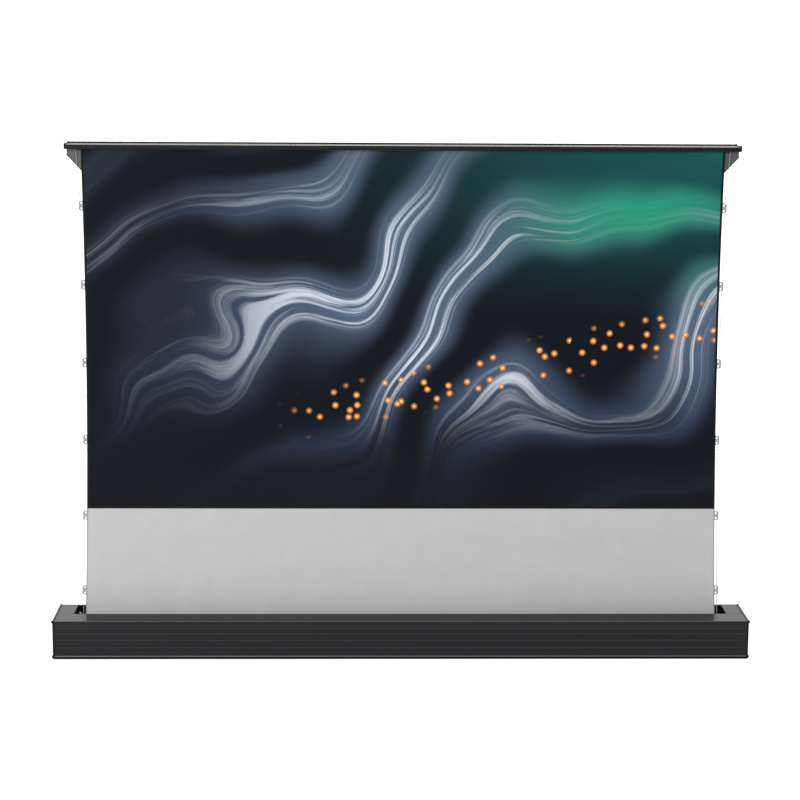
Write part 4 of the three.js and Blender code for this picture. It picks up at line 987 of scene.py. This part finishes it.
def build_roller():
    tube = turned(ring(ROLLER_RADIUS - 1.5 * MM, ROLLER_RADIUS, -ROLLER_HALF, ROLLER_HALF), "x", ROLLER, 96)
    piece("roller", "fabric_roller", "roller_tube", "drawn aluminium", tube)
    spiral = coil(5.5, 300, ROLLER_RADIUS + 0.6 * MM)
    cloth = band(spiral, FABRIC_LINE, 0.42 * MM)
    wound = piece("fabric_turns", "fabric_roller", "wound_fabric", "coated grey cloth", cloth, angle=1.0)

    # Motor: head outside the tube, collar and body inside it, two white buttons on the head's face.
    x0, x1 = span("tubular_motor", "x")
    head = stepped(x0, (0, 0), (22.8, 0), (23.7, 0.4), (24, 1.2), (24, 11.5), (23.5, 12))
    profile = head + stepped(x0, (23.1, 12), (23.1, 27.5), (22.6, 28), (20, 28)) + [(MOTOR_BODY, x1, 1), (0, x1)]
    button = rod(2.4 * MM, x0 - 0.2 * MM, x0 + 2 * MM)
    caps = [(turned(button, "x", ROLLER + Vector(mm(0, dy, 15)), 24), 1) for dy in (-6, 6)]
    finishes = ["grey powder coat", "white nylon"]
    piece("tube_motor", "case", "tubular_motor", finishes, turned(profile, "x", ROLLER, 72), *caps)
    crown = turned(ring(MOTOR_BODY + GAP, TUBE_BORE, *span("drive_crown", "x")), "x", ROLLER, 72)
    piece("motor_crown", "fabric_roller", "drive_crown", "grained moulded plastic", crown)

    x0, x1 = span("roller_idle_plug", "x")
    rim = stepped(x1, (23.1, -3.5), (24.6, -3.5), (25, -3.1), (25, -0.5), (24.5, 0))
    plug = turned([(BORE, x0), (TUBE_BORE, x0), *rim, (BORE, x1, 0.6)], "x", ROLLER, 72)
    piece("idle_plug", "fabric_roller", "roller_idle_plug", "grained moulded plastic", plug)
    collar, plate = x1 + GAP, SLOT_HALF - 8.5 * MM - GAP
    x0, x1 = span("roller_idle_pin", "x")
    profile = [(0, x0), (PIN_RADIUS, x0, 0.8), (PIN_RADIUS, collar), (PIN_HEAD, collar, 0.4)]
    profile += [(PIN_HEAD, plate, 0.4), (PIN_RADIUS, plate), (PIN_RADIUS, x1, 0.6), (0, x1)]
    piece("idle_pin", "case", "roller_idle_pin", "zinc-plated steel", turned(profile, "x", ROLLER))

    places = []
    for end, way in ENDS:
        bracket = refined(f"roller_bracket_{end}", 0.4, 1)
        piece(f"roller_holder_{end}", "case", f"roller_bracket_{end}", "zinc-plated steel", bracket)
        x, top = way * (SLOT_HALF + 8 * MM), FLOOR_PLATE_TOP + GAP + 3 * MM
        places += [((x, ROLLER.y + dy, top), (0, 0, 1)) for dy in mm(-22, 22)]
    screws("roller_holder_bolts", "case", places, *mm(3.6, 2.4), "zinc-plated steel")


def build_guides():
    journal, half, step = 4.6 * MM, high("fabric_guide_bar").x, FABRIC_LINE + 2 * MM
    near = [(0, -half), (journal, -half, 0.5), (journal, -step), (GUIDE_RADIUS, -step, 0.5)]
    bar = turned([*near, *[(r, -x, *cut) for r, x, *cut in near[::-1]]], "x", (0, GUIDE.y, GUIDE.z), 48)
    piece("guide_bar", "case", "fabric_guide_bar", "drawn aluminium", bar)
    for end, _ in ENDS:
        guide = refined(f"cord_guide_{end}", 0.35, 1)
        piece(f"cord_eye_{end}", "case", f"cord_guide_{end}", "white nylon", guide)

    # The lead: cloth from the roll over the guide bar, with each cord's last stretch beside it.
    leave, roll, radius = lead()
    over = [around(GUIDE, radius, leave * (1 - k / 10)) for k in range(11)]
    line = [around(ROLLER, roll, leave), *over, Vector((FABRIC_Y, SOFT_FOOT - GAP))]
    strip = band(line, FABRIC_LINE, sizes().fabric_thickness)
    cloth = piece("lead_cloth", "case", "fabric_lead", "coated grey cloth", strip, angle=1.0)
    turns = coil(2.5, 120, ROLLER_RADIUS + 0.2 * MM + sizes().cord_radius, 8)
    for end, way in ENDS:
        x = way * cord_half(SOFT_FOOT)
        path = [(x, *p) for p in resampled(line, 4 * MM)]
        laid_cord(f"lead_cord_{end}", "case", path, path[-1])
        path = [(x + way * 6 * MM * (1 - k / 120), *p) for k, p in enumerate(turns)]
        laid_cord(f"cord_turns_{end}", "fabric_roller", path, path[-1])


def resampled(points, step):
    """The same line with points about a step apart."""
    out = []
    for a, b in zip(points, points[1:]):
        count = max(1, round((b - a).length / step))
        out += [a.lerp(b, k / count) for k in range(count)]
    return out + [points[-1]]


def twisted(path):
    """The strands of a laid cord along a path."""
    size = sizes()
    runs = np.cumsum([0, *map(math.dist, path, path[1:])])
    count = max(8, math.ceil(runs[-1] / size.cord_pitch * 9))
    where = np.linspace(0, runs[-1], count + 1)
    lines = np.stack([np.interp(where, runs, places) for places in zip(*path)], 1)
    side, frames = None, []
    for i in range(count + 1):
        ahead = Vector(lines[min(i + 1, count)] - lines[max(i - 1, 0)]).normalized()
        side = (side - ahead * side.dot(ahead) if side else ahead.orthogonal()).normalized()
        frames.append((Vector(lines[i]), side, ahead.cross(side), where[i]))
    radius = size.cord_radius * 0.55
    strands = []
    for s in range(size.strand_count):
        line = []
        for point, one, two, run in frames:
            angle = 2 * math.pi * (s / size.strand_count + run / size.cord_pitch)
            line.append(point + (size.cord_radius - radius) * (one * math.cos(angle) + two * math.sin(angle)))
        strands.append(drawn_tube(line, radius, 6))
    return strands


def laid_cord(name, body, path, fixed, *nodes):
    """A stretch of tension cord along a path, fixed at one of its ends."""
    cord = settled(joined(name, twisted(path), ["polyester braid"], 1.2), body, "polyester braid", *nodes)
    return cord


# Fabric


FULL_WIDTH = ((-1.0, 0.0), (1.0, 0.0))


def panel(name, bottom, top, finishes, thickness, middle, sides=FULL_WIDTH, edging=0.0, columns=40, rows=48):
    """A panel whose sides follow the edge rule.

    The sides are (side, inset) pairs, and the finishes those of the front, the edging and the rear.
    """
    values = dict(zip(("Finish", "Edging_finish", "Rear_finish"), map(material, finishes)))
    for which, (side, inset) in zip(("Left", "Right"), sides):
        values |= {f"{which}_side": side, f"{which}_inset": inset}
    values |= {"Bottom": bottom, "Top": top, "Edging": edging, "Thickness": thickness}
    return by_rule(name, bowed_panel_tree, Columns=columns, Rows=rows, **values, **edge_values(middle))


def build_apron():
    thick, edging = sizes().fabric_thickness, sizes().selvedge
    finishes = ("coated grey cloth", "sealed selvedge", "black rear coat")
    apron = panel("apron", SOFT_FOOT, SEAM, finishes, thick, FABRIC_Y, edging=edging, rows=16)
    settled(apron, "case", finishes[0], "fabric_apron")
    flattens(apron)


def build_picture():
    size, finishes = sizes(), ("printed picture", "printed black edging", "black rear coat")
    top = high("projection_surface").z
    picture = panel("picture", SEAM, top, finishes, size.fabric_thickness, FABRIC_Y, edging=size.edging)
    settled(picture, "case", finishes[0], "projection_surface")
    # A welded strip covers the seam on the rear, between the tapes.
    thick, lap, inset = 0.3 * MM, 7 * MM, size.tape_width + 2 * MM
    behind = FABRIC_Y + size.fabric_thickness / 2 + thick / 2
    sides = ((-1.0, inset), (1.0, -inset))
    strip = panel("seam_strip", SEAM - lap, SEAM + lap, finishes[2:] * 3, thick, behind, sides, rows=2)
    flattens(settled(strip, "case", finishes[2]))
    flattens(picture)


WINDOW_RISE = 9.2  # millimetres from a tab's middle to its windows and eyelets


def tab_shape(way):
    """One tab at the fabric's edge: a stamped plate with two windows and a moulded eye for the cord."""
    corners = [(-10, -18, 1.5), (0, -18, 2), (14, -14, 3), (14, 14, 3), (0, 18, 2), (-10, 18, 1.5)]
    outline = filleted([(way * a * MM, b * MM, r) for a, b, r in corners], 5)
    x, rib = way * 4.4, way * 12.2
    windows = [rectangle(*mm(x - 2.8, z - 3.2, x + 2.8, z + 3.2), 2.6, 5) for z in (-WINDOW_RISE, WINDOW_RISE)]
    return [
        prism(outline, *mm(0.55, 1.75), "y", windows, soft=0.25, steps=1),
        turned(ring(*mm(1.7, 2.6, -6.8, 6.8)), "z", (way * CORD_OFFSET, 0, 0), 24),
        prism(rectangle(*mm(rib - 0.6, -9, rib + 0.6, 9), 0.5, 3), *mm(-0.2, 0.8), "y", soft=0.2, steps=1),
    ]


def eyelet_shape(way):
    """The two crimped eyelets of one tab, either side of the cord's eye."""
    rings = [(way * (CORD_OFFSET + 2.2 * MM), 0, z) for z in mm(-WINDOW_RISE, WINDOW_RISE)]
    return [turned(ring(*mm(0.7, 2.1, -0.5, 2.3)), "y", place, 20) for place in rings]


def build_tabs():
    size = sizes()
    first, second = tab_heights()[:2]
    kinds = (("tabs", tab_shape, "clear tab plastic"), ("eyelets", eyelet_shape, "crimped eyelet"))
    for end, way in ENDS:
        for kind, shape, finish in kinds:
            pattern = joined(f"{kind}_pattern_{end}", shape(way), [finish], 0.5)
            values = {"Tab": pattern, "Count": size.tab_count, "First": first, "Pitch": second - first}
            values |= {"Side": float(way), "Finish": material(finish), **edge_values(FABRIC_Y)}
            row = by_rule(f"{kind}_{end}", tab_row_tree, angle=0.5, **values)
            bpy.data.objects.remove(pattern)
            flattens(settled(row, "case", finish))
        outer, inner = (float(way), 0.0), (float(way), -way * size.tape_width)
        sides = (outer, inner) if way < 0 else (inner, outer)
        height, thick, behind = (SOFT_FOOT, LID_FOOT - GAP), 0.6 * MM, FABRIC_Y + 0.85 * MM
        tape = panel(f"tape_{end}", *height, ["welded tape"] * 3, thick, behind, sides, columns=4)
        settled(tape, "case", "welded tape", f"tab_strip_{end}")
        flattens(tape)


def build_cords():
    for end, way in ENDS:
        path = [(way * cord_half(z), FABRIC_Y, z) for z in np.linspace(SOFT_FOOT, LID_FOOT - GAP, 90)]
        flattens(laid_cord(f"cord_{end}", "case", path, path[0], f"tension_cord_{end}"))


# Lid


LID_RIDGE, CAP_NUB = mm(4.3, 7)  # how far the seal and the caps' ends stand over the lid, and the ends' depth


def build_lid():
    y0, y1, foot, top, wall, half = LID_FRONT, LID_REAR, LID_FOOT, LID_TOP, 2 * MM, LID_HALF
    floor = foot + wall
    roof = floor + 7 * MM
    # The hem's channel with its slit, open below; two closed chambers behind it.
    slit0, slit1, channel0, channel1 = (FABRIC_Y + y for y in mm(-1, 1, -3, 4))
    section = [(y0, foot, 0.9), (slit0, foot, 0.4), (slit0, floor, 0.3)]
    section += [(channel0, floor, 0.3), (channel0, roof, 0.3), (channel1, roof, 0.3), (channel1, floor, 0.3)]
    section += [(slit1, floor, 0.3), (slit1, foot, 0.4), (y1, foot, 0.9), (y1, top, 0.6), (y0, top, 1.1)]
    start = channel1 + wall
    middle = (start + y1) / 2
    stretches = ((start, middle - wall / 2), (middle + wall / 2, y1 - wall))
    chambers = [rectangle(front, floor, rear, top - wall, 1, 3) for front, rear in stretches]
    profile = prism(filleted(section), -half, half, "x", chambers)
    # A seal strip stands in the rear edge and meets the slot's lip when the lid is down; its dull black, darker
    # than the rail, is partly painted shade on the ridge's front face.
    strip = rectangle(y1 - 1.9 * MM, top - 1.5 * MM, y1 - 0.1 * MM, top + LID_RIDGE, 0.6, 4)
    seal = prism(strip, -half, half, "x")
    piece("lid_rail", "lid", "lid_profile", ["satin anodised black", "foot rubber"], profile, (seal, 1))
    hem_low, hem_high = box("hem_rod")
    hem = (hem_low + hem_high) / 2
    profile = rod((hem_high.z - hem_low.z) / 2, hem_low.x, hem_high.x)
    piece("lid_hem_rod", "lid", "hem_rod", "drawn aluminium", turned(profile, "x", (0, hem.y, hem.z), 24))

    places, bolts = [], []
    for end, way in ENDS:
        (x0, c0, base), (x1, c1, level) = box(f"lid_cap_{end}")
        outer = max(abs(x0), abs(x1))
        rear_peak, front_peak = top + LID_RIDGE + 2.6 * MM, top + 5 * MM
        outline = [(c0, base, 1.6), (c1, base, 1.6), (c1, rear_peak, 1.4), (c1 - CAP_NUB, rear_peak, 1.6)]
        outline += [(c1 - CAP_NUB, level, 1), (c0 + CAP_NUB, level, 1), (c0 + CAP_NUB, front_peak, 1.6)]
        face = prism(filleted([*outline, (c0, front_peak, 1.4)], 5), *at_end(way, half, outer), "x", soft=0.5)
        x0, x1 = at_end(way, half - 12 * MM, half)
        key = block((x0, start + GAP, floor + GAP), (x1, stretches[0][1] - GAP, top - wall - GAP), 0.5)
        piece(f"lid_end_{end}", "lid", f"lid_cap_{end}", "grained moulded plastic", face, key)
        places += [((way * outer, y, (foot + top) / 2), (way, 0, 0)) for y in (y0 + 24 * MM, y1 - 18 * MM)]
        bolts += build_lid_bracket(end, way)
    screws("lid_end_screws", "lid", places, *mm(2.6, 0.9))
    screws("lid_bracket_bolts", "lid", bolts, *mm(3.4, 2.2), "zinc-plated steel")


def build_lid_bracket(end, way):
    """Bent plate under the lid, with its pin: triangular gusset in front, hanger behind, a flat joining them.

    Gives the places of its bolts.
    """
    thick, top, x = 3 * MM, LID_FOOT - GAP, abs(HEAD.x)
    front, rear = span(f"lid_bracket_{end}", "y")
    hole = circle(way * x, HEAD.z, PIN_RADIUS + GAP)
    edge, foot = SLOT_HALF - 10.6 * MM, HEAD.z - 17 * MM
    corners = [(0, 0, 0.5), (0, 18.2, 4), (56, 78, 6), (96, 78, 8), (166, 0, 0.5)]
    gusset = filleted([(way * (edge - a * MM), top - b * MM, r) for a, b, r in corners], 6)
    corners = [(26, top, 0.5), (17, foot, 9), (-17, foot, 9), (-26, top, 0.5)]
    hanger = filleted([(way * (x + a * MM), z, r) for a, z, r in corners], 6)
    # A rubber edge guard runs down the gusset's free sides; its black also stands for the shade along the plate's
    # edges, a painted shade line.
    guard = drawn_tube([(p.x, front + thick / 2, p.y) for p in gusset if p.y < top - 2 * MM], 1.9 * MM, 10)
    x0, x1 = at_end(way, x - 26 * MM, x + 26 * MM)
    plates = [
        prism(gusset, front, front + thick, "y", [hole], soft=0.5),
        prism(hanger, rear - thick, rear, "y", [hole], soft=0.5),
        block((x0, front, top - thick), (x1, rear, top), 0.5),
    ]
    finishes = ["grey powder coat", "foot rubber"]
    piece(f"lid_gusset_{end}", "lid", f"lid_bracket_{end}", finishes, *plates, (guard, 1))
    profile = stepped(front, (0, -0.6), (5, -0.6), (6, 0.2))
    profile += stepped(rear + GAP, (6, 0), (8.6, 0), (9, 0.4), (8.8, 1.4), (0, 1.8))
    pin = turned(profile, "y", (way * x, 0, HEAD.z))
    piece(f"head_pin_{end}", "lid", f"top_pin_{end}", "zinc-plated steel", pin)
    ys = (front + 10 * MM, rear - 10 * MM)
    return [((way * (x + dx), y, top - thick), (0, 0, -1)) for dx in mm(-17, 17) for y in ys]


# Arms


UPPER_Y, LOWER_Y = mm(13.5, 48)  # planes in which the upper and lower arms swing


def knuckle(radius, middle, collar=None):
    """A cast knuckle in the arm's own frame: bored boss, shank to the tube's end, hidden spigot."""
    y0, y1 = middle - TUBE_DEPTH / 2, middle + TUBE_DEPTH / 2
    end = KNUCKLE_REACH - GAP
    arc = circle(0, 0, radius, np.linspace(math.pi / 2, 3 * math.pi / 2, 40))
    outline = [(end, -TUBE_HALF), (end, TUBE_HALF), *arc]
    solids = [prism(outline, y0, y1, "y", [circle(0, 0, BORE)], soft=1, steps=3)]
    for from_, to in ((y0 - 0.25 * MM, y0 + 0.2 * MM), (y1 - 0.2 * MM, y1 + 0.25 * MM)):
        solids.append(turned(ring(PIN_HEAD, radius - 4 * MM, from_, to, 0.1), "y", sides=48))
    inset, half = 2.3 * MM, TUBE_HALF - 4.3 * MM
    solids.append(block((KNUCKLE_REACH / 2, y0 + inset, -half), (KNUCKLE_REACH + 30 * MM, y1 - inset, half), 1))
    if collar is not None:
        solids.append(turned(ring(BORE, 12 * MM, collar, y0 + 0.5 * MM), "y", sides=48))
    return solids


def build_arm(end, level, start, finish, middle, near, far):
    """One arm from its near to its far pivot; near and far are each a knuckle's name, node, radius and collar."""
    reach = finish - start
    length = math.hypot(reach.x, reach.z)
    turn = Matrix.Translation((start.x, 0, start.z)) @ Matrix.Rotation(-math.atan2(reach.z, reach.x), 4, "Y")
    back = turn @ Matrix.Translation((length, 0, 0)) @ Matrix.Rotation(math.pi, 4, "Y")
    body, wall = f"{end}_{level}_arm", 2 * MM
    y0, y1 = middle - TUBE_DEPTH / 2, middle + TUBE_DEPTH / 2
    section = rectangle(y0, -TUBE_HALF, y1, TUBE_HALF, 5, 8)
    hollow = rectangle(y0 + wall, -TUBE_HALF + wall, y1 - wall, TUBE_HALF - wall, 3, 8)
    tube = moved(prism(section, KNUCKLE_REACH, length - KNUCKLE_REACH, "x", [hollow]), turn)
    piece(f"{level}_tube_{end}", body, f"{level}_arm_tube_{end}", "anodised arm tube", tube)
    for (name, node, radius, collar), place in ((near, turn), (far, back)):
        solids = [moved(solid, place) for solid in knuckle(radius, middle, collar)]
        piece(f"{name}_{end}", body, f"{node}_{end}", "die-cast aluminium", *solids)
    first, second = (KNUCKLE_REACH + x for x in mm(9, 23))
    sides = ((y0, -1), (y1, 1))
    xs = (first, second, length - second, length - first)
    spots = [(turn @ Vector((x, y, 0)), (0, way, 0)) for x in xs for y, way in sides]
    screws(f"{level}_arm_screws_{end}", body, spots, *mm(3.4, 1))


def build_arms():
    half = TUBE_DEPTH / 2 + GAP
    for end, way in ENDS:
        base, elbow, head = (Vector((way * abs(p.x), 0, p.z)) for p in (BASE, ELBOW, HEAD))
        near = ("base_casting", "base_knuckle", 20 * MM, None)
        far = ("lower_elbow_casting", "lower_elbow_knuckle", 23 * MM, UPPER_Y + half)
        build_arm(end, "lower", base, elbow, LOWER_Y, near, far)
        near = ("upper_elbow_casting", "upper_elbow_knuckle", 23 * MM, None)
        far = ("head_casting", "top_knuckle", 20 * MM, None)
        build_arm(end, "upper", elbow, head, UPPER_Y, near, far)
        pin = turned(headed(UPPER_Y - half, LOWER_Y + half, 2.4 * MM), "y", elbow)
        piece(f"elbow_bolt_{end}", f"{end}_lower_arm", f"elbow_pin_{end}", "zinc-plated steel", pin)


def headed(front, rear, thick):
    """Profile of a pin with a low domed head at both ends."""
    steps = ((0, 1), (0.55, 0.95), (0.88, 0.72), (1, 0.35), (1, 0))
    dome = [(PIN_HEAD * across, thick * out) for across, out in steps]
    shank = [(PIN_RADIUS, front), (PIN_RADIUS, rear)]
    return [*[(r, front - d) for r, d in dome], *shank, *[(r, rear + d) for r, d in dome[::-1]]]


def build_bases():
    bolts = []
    bottom, thick, half = FLOOR_PLATE_TOP + GAP, 3.5 * MM, 34 * MM
    for end, way in ENDS:
        x = way * abs(BASE.x)
        x0, x1, top, pivot_at = x - half, x + half, bottom + thick, (x, 0, BASE.z)
        y0, y1 = span(f"base_bracket_{end}", "y")
        arc = circle(x, BASE.z, 18 * MM, np.linspace(0, math.pi, 32))
        cheek, hole = [(x0, bottom), (x1, bottom), (x1, top), *arc, (x0, top)], circle(x, BASE.z, BORE)
        solids = [prism(cheek, y, y + thick, "y", [hole], soft=0.4) for y in (y0, y1 - thick)]
        solids.append(block((x0, y0, bottom), (x1, y1, top), 0.4))
        piece(f"base_holder_{end}", "case", f"base_bracket_{end}", "zinc-plated steel", *solids)
        bolts += [((x + dx, y, top), (0, 0, 1)) for dx in mm(-26, 26) for y in mm(42, 54)]

        y0, y1 = span(f"spring_drum_{end}", "y")
        outer, inner, floor = 22 * MM, 19 * MM, y1 - 3 * MM
        profile = [(BORE, y0), (outer, y0, 0.5), (outer, y1, 0.5), (inner, y1, 0.5), (inner, floor), (BORE, floor)]
        cup = turned(profile, "y", pivot_at, 72)
        piece(f"spring_cup_{end}", "case", f"spring_drum_{end}", "blued spring steel", cup)
        strip = dict(zip(("Inner", "Outer", "Strip_width", "Strip_thickness"), mm(9.8, 18.6, 2.2, 0.55)))
        strip |= {"Turns": float(sizes().spring_turns), "Finish": material("blued spring steel")}
        spring = by_rule(f"flat_spring_{end}", spring_tree, **strip)
        place = Matrix.Translation((x, floor + 1.2 * MM, BASE.z)) @ Matrix.Rotation(math.pi / 2, 4, "X")
        spring.data.transform(place)
        settled(spring, "case", "blued spring steel")
        y0, y1 = span(f"base_pin_{end}", "y")
        pin = turned(headed(y0 + 1.8 * MM, y1 - 2.4 * MM, 1.8 * MM), "y", pivot_at)
        piece(f"base_bolt_{end}", f"{end}_lower_arm", f"base_pin_{end}", "zinc-plated steel", pin)
    screws("base_holder_bolts", "case", bolts, *mm(3.6, 2.2), "zinc-plated steel")


# Electrics


def build_electrics():
    (x0, y0, _), (x1, y1, top) = box("control_box")
    piece("control_case", "case", "control_box", "grained moulded plastic", refined("control_box", 0.9, 3))
    xs, ys = (x0 + 9 * MM, x1 - 9 * MM), (y0 + 7 * MM, y1 - 6 * MM)
    screws("control_case_screws", "case", [((x, y, top), (0, 0, 1)) for x in xs for y in ys], *mm(2.2, 1))

    lo, hi = box("power_inlet")
    x, _, z = (lo + hi) / 2
    w, h, back = (hi.x - lo.x) / 2, (hi.z - lo.z) / 2, hi.y - 1.4 * MM

    def inset(by):
        return x - w + by, z - h + by, x + w - by, z + h - by

    x0, z0, x1, z1 = inset(7 * MM)
    cut = 5 * MM
    mouth = [(x0, z0, 1.5), (x1, z0, 1.5), (x1, z1 - cut, 0.8), (x1 - cut, z1, 0.8), (x0 + cut, z1, 0.8)]
    mouth = filleted([*mouth, (x0, z1 - cut, 0.8)])
    flange, depth = 4 * MM, 14.5 * MM
    solids = [
        prism(rectangle(*inset(0), 3), back, hi.y, "y", [mouth], soft=0.3),
        prism(rectangle(*inset(flange), 1), back - depth, back + 0.2 * MM, "y", [mouth]),
        prism(rectangle(*inset(flange)), lo.y, back - depth + 0.2 * MM, "y"),
    ]
    for share, drop in ((-0.3, 0), (0, 1.2 * MM), (0.3, 0)):
        at, level = x + 2 * (w - flange) * share, z + drop
        corners = [(at + way * 1.1 * MM, back - y * MM, level + way * 3 * MM) for way, y in ((-1, 15), (1, 6))]
        solids.append((block(*corners, 0.4), 1))
    piece("mains_inlet", "case", "power_inlet", ["grained moulded plastic", "tinned brass"], *solids)

    lo, hi = box("lid_switch")
    top = hi.z - 1.5 * MM
    body = block(lo, (hi.x, hi.y, top - 2 * MM), 0.9, 3)
    x, y, _ = (lo + hi) / 2
    paddle = prism(rectangle(*mm(-4.6, -2.1, 4.6, 2.1), 2, 8), *mm(-1.2, 1.2), "z", soft=0.6, steps=3)
    lean = Euler((0, 0.42, -0.35)).to_matrix().to_4x4()
    moved(paddle, Matrix.Translation((x + 3.6 * MM, y, top - 0.6 * MM)) @ lean)
    finishes = ["white nylon", "grained moulded plastic"]
    piece("closed_lid_switch", "case", "lid_switch", finishes, (body, 1), paddle)


# Studio


CAMERA_PLACE = (-0.16491, -7.20038, 2.2528)
CAMERA_ANGLES = (10.530, 1.244, 0.3327)  # degrees down, to the right, and round its own line of sight
LAMP_PLACE, LAMP_AIM = (-5.0, -6.0, 3.2), (0, 0, 0.9)


def build_studio():
    scene = bpy.context.scene
    scene.view_settings.view_transform = "Standard"

    def placed(name, data):
        obj = bpy.data.objects.new(name, data)
        scene.collection.objects.link(obj)
        return obj

    floor = placed("studio_floor", bpy.data.meshes.new("studio_floor"))
    floor.data.from_pydata([(-20, -14, 0), (20, -14, 0), (20, 30, 0), (-20, 30, 0)], [], [(0, 1, 2, 3)])
    floor.data.materials.append(material("studio floor"))

    scene.world = bpy.data.worlds.new("studio light")
    scene.world.use_nodes = True
    scene.world.node_tree.nodes.clear()
    node = partial(add, scene.world.node_tree)
    ramp = partial(node, "MapRange", interpolation_type="SMOOTHSTEP")
    x, y, z = node("SeparateXYZ", node("TexCoord").outputs["Generated"]).outputs
    # Brighter behind the screen, so that it stands against white, with one broad soft lamp above the viewer.
    behind = ramp(y, -0.1, 0.35, 0.3, 1.75)
    above = ramp(z, 0.4, 0.5)
    beneath = ramp(z, 1.0, 0.96, 0.0, 2.4)
    before = ramp(y, -0.08, -0.2)
    lamp = node("Math.MULTIPLY_ADD", node("Math.MULTIPLY", above, before), beneath, behind)
    aside = node("MapRange", x, -0.9, 0.9, 1.04, 0.96)
    node("OutputWorld", node("Background", (1, 1, 1, 1), node("Math.MULTIPLY", lamp, aside)))

    key = placed("key", bpy.data.lights.new("key", "AREA"))
    key.data.energy, key.data.size = 460, 3.5
    key.location = LAMP_PLACE
    key.rotation_euler = (Vector(LAMP_AIM) - key.location).to_track_quat("-Z", "Y").to_euler()

    camera = placed("camera", bpy.data.cameras.new("camera"))
    camera.data.sensor_width, camera.data.lens, camera.data.clip_end = 36, 93.875, 200
    pitch, yaw, roll = map(math.radians, CAMERA_ANGLES)
    ahead = Vector((math.sin(yaw) * math.cos(pitch), math.cos(yaw) * math.cos(pitch), -math.sin(pitch)))
    side = ahead.cross(Vector((0, 0, 1))).normalized()
    up = side.cross(ahead)
    side, up = side * math.cos(roll) + up * math.sin(roll), up * math.cos(roll) - side * math.sin(roll)
    camera.matrix_world = Matrix.Translation(CAMERA_PLACE) @ Matrix((side, up, -ahead)).transposed().to_4x4()
    scene.camera = camera


# Operators and panel


def operator(idname, label, text, *steps):
    """One operator class that runs these building steps in order."""

    def execute(self, context):
        for step in steps:
            step()
        return {"FINISHED"}

    named = {"bl_idname": "screen_maker." + idname, "bl_label": label, "bl_options": {"REGISTER", "UNDO"}}
    return type("SCREEN_OT_" + idname, (bpy.types.Operator,), {**named, "__doc__": text, "execute": execute})


OPERATORS = (
    operator("case", "Case", "Build the grooved profiles, floor plate, end plates, slot covers and feet",
             build_shell, build_ends),
    operator("roller", "Roller", "Build the roller with its turns of fabric, its motor, plug, pin and holders",
             build_roller),
    operator("guides", "Guides", "Build the guide bar, cord eyes and the lead of cloth and cord", build_guides),
    operator("arms", "Arms", "Build the elbow arms with their castings, bolts and screws", build_arms),
    operator("bases", "Bases", "Build the arms' base holders, bolts and spring cups", build_bases),
    operator("lid", "Lid", "Build the lid rail, its end caps, hem rod, gussets and pins", build_lid),
    operator("fabric", "Fabric", "Build the apron and the picture", build_apron, build_picture),
    operator("tabs", "Tabs and cords", "Build the tab rows, their tapes and the tension cords",
             build_tabs, build_cords),
    operator("electrics", "Electrics", "Build the control case, mains inlet and closed-lid switch",
             build_electrics),
    operator("studio", "Studio", "Set the floor, light and camera", build_studio),
)


class SCREEN_PT_panel(bpy.types.Panel):
    """Lists the screen's building steps, sizes and colours"""

    bl_idname = "SCREEN_PT_panel"
    bl_label = "Projection screen"
    bl_space_type = "VIEW_3D"
    bl_region_type = "UI"
    bl_category = "Screen"

    def draw(self, context):
        for step in OPERATORS:
            self.layout.operator(step.bl_idname)
        for group in (sizes(), colours()):
            listed = self.layout.box()
            for key in group.__annotations__:
                listed.prop(group, key)


CLASSES = (ScreenSizes, ScreenColours, *OPERATORS, SCREEN_PT_panel)


def register():
    for cls in CLASSES:
        bpy.utils.register_class(cls)
    bpy.types.Scene.screen_sizes = PointerProperty(type=ScreenSizes)
    bpy.types.Scene.screen_colours = PointerProperty(type=ScreenColours)


def unregister():
    del bpy.types.Scene.screen_colours
    del bpy.types.Scene.screen_sizes
    for cls in reversed(CLASSES):
        bpy.utils.unregister_class(cls)


def main():
    register()
    for step in OPERATORS:
        getattr(bpy.ops.screen_maker, step.bl_idname.split(".")[1])()


if __name__ == "__main__":
    main()
